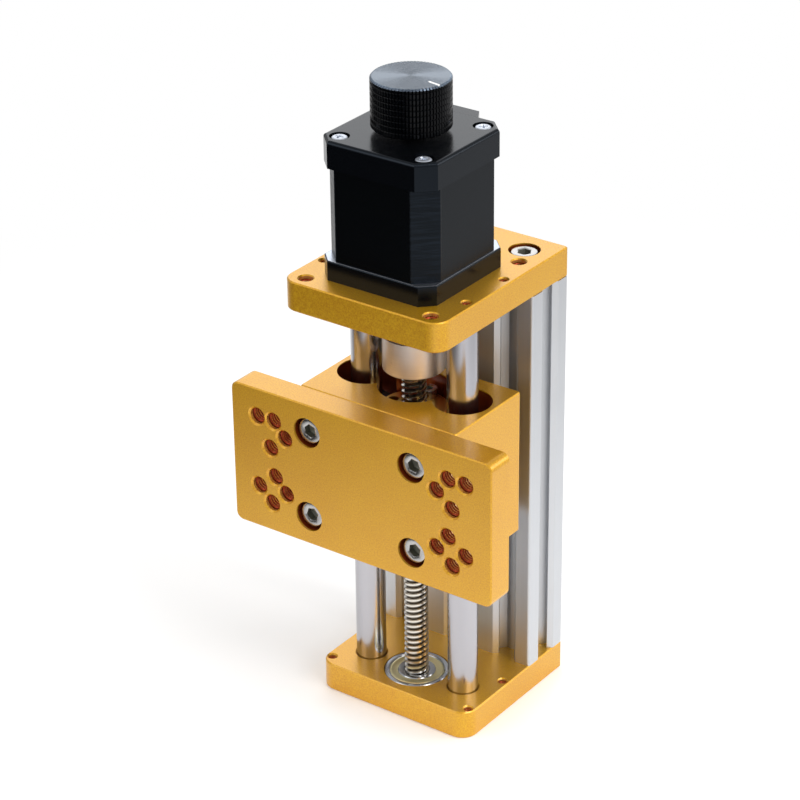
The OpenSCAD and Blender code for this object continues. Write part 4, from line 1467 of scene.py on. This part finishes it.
@dataclass
class Knob:
    """The hand knob: knurled along its side, ringed across, spun on top."""

    ridges: int = 72
    depth: float = 0.4
    rows: int = 8
    row_depth: float = 0.35
    row_steps: tuple[float, float, float] = (0.62, 0.78, 0.86)
    ridge_steps: int = 4
    face_share: float = 0.4
    groove: float = 0.1
    band: float = 0.5
    bevel: float = 0.5
    bore: float = 2.53
    mark_turn: float = -10.0
    grub_depth: float = 0.4
    grub_pitch: float = 0.7

    def build(self) -> None:
        """Makes the knob and its set screw."""
        low, high = span("hand_knob")
        self.body(high.x, low.z, high.z)
        low, high = span("knob_set_screw")
        radius = (high.x - low.x) / 2
        grub = Shape().thread(radius, radius - self.grub_depth, self.grub_pitch, 0,
                              high.y - low.y, steps=24)
        place = at(0, low.y, (low.z + high.z) / 2) @ turned("X", -90)
        Shape().stamp(grub, [place]).piece(
            "knob_grub_screw", Finishes.STAINLESS, Body.SCREW, Slot.FASTENER, ("knob_set_screw",))

    def body(self, radius: float, low: float, high: float) -> None:
        """Lofts the knob from a loop with a groove beside each ridge.

        Args:
            radius: Radius over the ridges.
            low: Height of the lower face.
            high: Height of the upper face.
        """
        made = Shape()
        steps, share = self.ridge_steps, self.face_share
        loop = made.circle(self.ridges * steps, radius, low + self.bevel)
        sector = math.tau / self.ridges
        made.fit(loop, lambda angle: radius - self.depth * max(
            0.0, 1 - abs(angle % sector / sector - 0.5) * steps))
        down = made.rings(loop, [((radius - self.bevel) / radius, low)])
        made.rings(down, [(share, low), (self.bore / (share * (radius - self.bevel)), low)])
        rise = (high - low - 2 * self.bevel - self.band) / self.rows
        nip = 1 - self.row_depth / radius
        levels = []
        for row in range(self.rows):
            base = low + self.bevel + row * rise
            levels += [(scale, base + rise * step)
                       for scale, step in zip((1.0, nip, 1.0), self.row_steps)]
            levels.append((1 / nip, base + rise))
        top = made.rings(loop, levels)
        flat = radius - self.bevel
        edge = made.rings(top, [(1.0, high - self.bevel), (flat / radius, high)])
        inner = made.fit(made.rings(edge, [(1.0, high)]),
                         lambda angle: flat - self.depth - self.groove)
        made.rings(inner, [(share, high), (0.02, high)])
        made.close()
        finish = BlackKnurl("black knurled knob", axis=(0, 0, high), mark_turn=self.mark_turn)
        made.piece("knurled_knob", finish, Body.SCREW, Slot.KNOB, ("hand_knob",), crease=24)


@dataclass
class Studio:
    """Pale floor, white surroundings and soft lamps."""

    floor_side: float = 6000.0
    fade_from: float = 80.0
    fade_to: float = 420.0
    ambient: float = 0.85
    mirrored: float = 0.6
    dark: tuple[float, float] = (-0.59, -0.81)
    dark_reach: tuple[float, float] = (110.0, 330.0)
    dim: tuple[float, float] = (0.9, 0.44)
    dim_reach: tuple[float, float] = (160.0, 360.0)
    dimming: float = 0.3
    lamps: tuple[tuple[str, Point, float, float], ...] = (
        ("key", (800, -100, 800), 600, 5.6), ("fill", (-500, -900, 700), 700, 2.2),
        ("rim", (800, 600, 500), 500, 2.5), ("window", (-700, 950, 700), 900, 3.2))

    def build(self) -> None:
        """Makes the floor, the world and the lamps."""
        self.floor()
        self.world()
        for lamp in self.lamps:
            self.lamp(*lamp)

    def floor(self) -> None:
        """A plane that takes the shadow near the object and turns plain white further out.

        In reflections only, it is painted black a little way ahead and dimmer to the right.
        """
        shape = Shape()
        bmesh.ops.create_grid(shape.bm, x_segments=1, y_segments=1, size=self.floor_side / 2 * MM)
        mesh = bpy.data.meshes.new("floor")
        shape.bm.to_mesh(mesh)
        shape.bm.free()
        made = put("floor", mesh)
        material = bpy.data.materials.new("pale floor")
        material.use_nodes = True
        bench = Bench(material.node_tree)
        across, deep, _ = bench.axes(bench.place())
        far = across.reach(deep).rise(self.fade_from, self.fade_to)
        matt = bench.add("ShaderNodeBsdfDiffuse", sockets={"Color": rgb(250, 250, 250)})
        white = bench.add("ShaderNodeEmission", sockets={"Color": (1, 1, 1, 1), "Strength": 1.0})
        # painted dark reflection: glossy rays see this black on the floor ahead and, in part, to
        # the right
        black = bench.add("ShaderNodeEmission", sockets={"Color": (0, 0, 0, 1), "Strength": 0.0})
        pale = bench.add("ShaderNodeMixShader",
                         sockets={0: far * self.seen(bench), 1: matt, 2: white})
        glossy = bench.add("ShaderNodeLightPath", out=3)
        ahead = across * self.dark[0] + deep * self.dark[1]
        aside = across * self.dim[0] + deep * self.dim[1]
        dimmed = aside.rise(*self.dim_reach) * self.dimming
        beyond = ahead.rise(*self.dark_reach).at_least(dimmed) * glossy
        both = bench.add("ShaderNodeMixShader", sockets={0: beyond, 1: pale, 2: black})
        bench.add("ShaderNodeOutputMaterial", sockets={"Surface": both})
        mesh.materials.append(material)

    @staticmethod
    def seen(bench: Bench) -> Signal:
        """Tells what is looked at from what only lights.

        Args:
            bench: Where its nodes stand.

        Returns:
            1 for rays from the camera, a reflection or glass, 0 for the others.
        """
        camera = bench.add("ShaderNodeLightPath")
        outputs = camera.socket.node.outputs
        glossy = Signal(bench, outputs["Is Glossy Ray"])
        through = Signal(bench, outputs["Is Transmission Ray"])
        return camera.at_least(glossy).at_least(through)

    def world(self) -> None:
        """White surroundings, a little dimmer in reflections."""
        world = bpy.data.worlds.new("studio")
        world.use_nodes = True
        bpy.context.scene.world = world
        bench = Bench(world.node_tree)
        glossy = bench.add("ShaderNodeLightPath", out=3)
        strength = self.seen(bench) * (1 - self.ambient) + self.ambient
        light = bench.add("ShaderNodeBackground", sockets={
            "Color": (1, 1, 1, 1), "Strength": strength - glossy * (1 - self.mirrored)})
        bench.add("ShaderNodeOutputWorld", sockets={"Surface": light})

    @staticmethod
    def lamp(name: str, place: Point, side: float, power: float) -> None:
        """Adds a soft square lamp that faces the middle of the object.

        Args:
            name: Its name.
            place: Where it hangs, in millimetres.
            side: Length of its side, in millimetres.
            power: Its power in watts.
        """
        data = bpy.data.lights.new(name, "AREA")
        data.shape = "SQUARE"
        data.size = side * MM
        data.energy = power
        made = put(name, data)
        low, high = cad_box
        towards = (low + high) / 2 - Vector(place) * MM
        made.location = Vector(place) * MM
        made.rotation_euler = towards.to_track_quat("-Z", "Y").to_euler()


@dataclass
class Viewpoint:
    """The camera, placed as it was for the photograph."""

    azimuth: float = 36.25
    elevation: float = 27.27
    roll: float = -0.72
    distance: float = 971.8
    shift_right: float = -29.78
    shift_up: float = 82.52
    aim: Point = (0, 41, 0)
    focal_pixels: float = 2822.4
    near: float = 0.05
    far: float = 50.0

    def build(self) -> None:
        """Places the camera."""
        turn, rise, roll = (math.radians(angle)
                            for angle in (self.azimuth, self.elevation, self.roll))
        back = Vector((math.sin(turn) * math.cos(rise), -math.cos(turn) * math.cos(rise),
                       math.sin(rise)))
        right = Vector((math.cos(turn), math.sin(turn), 0))
        up = back.cross(right)
        across = math.cos(roll) * right + math.sin(roll) * up
        above = -math.sin(roll) * right + math.cos(roll) * up
        place = across * self.shift_right + above * self.shift_up + back * self.distance
        place += Vector(self.aim)
        data = bpy.data.cameras.new("camera")
        data.sensor_width = SENSOR
        data.lens = self.focal_pixels * SENSOR / PHOTO_SIDE
        data.clip_start, data.clip_end = self.near, self.far
        made = put("camera", data)
        columns = Matrix((across, above, back)).transposed()
        made.matrix_world = Matrix.Translation(place * MM) @ columns.to_4x4()
        bpy.context.scene.camera = made


def main() -> None:
    """Builds the module piece by piece, then the studio."""
    logging.basicConfig(level=logging.INFO, format="%(message)s")
    bpy.context.scene.view_settings.view_transform = "Standard"
    Viewpoint().build()
    Studio().build()
    dress(Finishes.RAIL, "back_rail")
    for part in (EndPlates(), GuideRods(), LeadScrew(), BaseBearing(), Carriage(), Coupling(),
                 Motor(), Knob()):
        log.info("building %s", type(part).__name__)
        part.build()


if __name__ == "__main__":
    main()
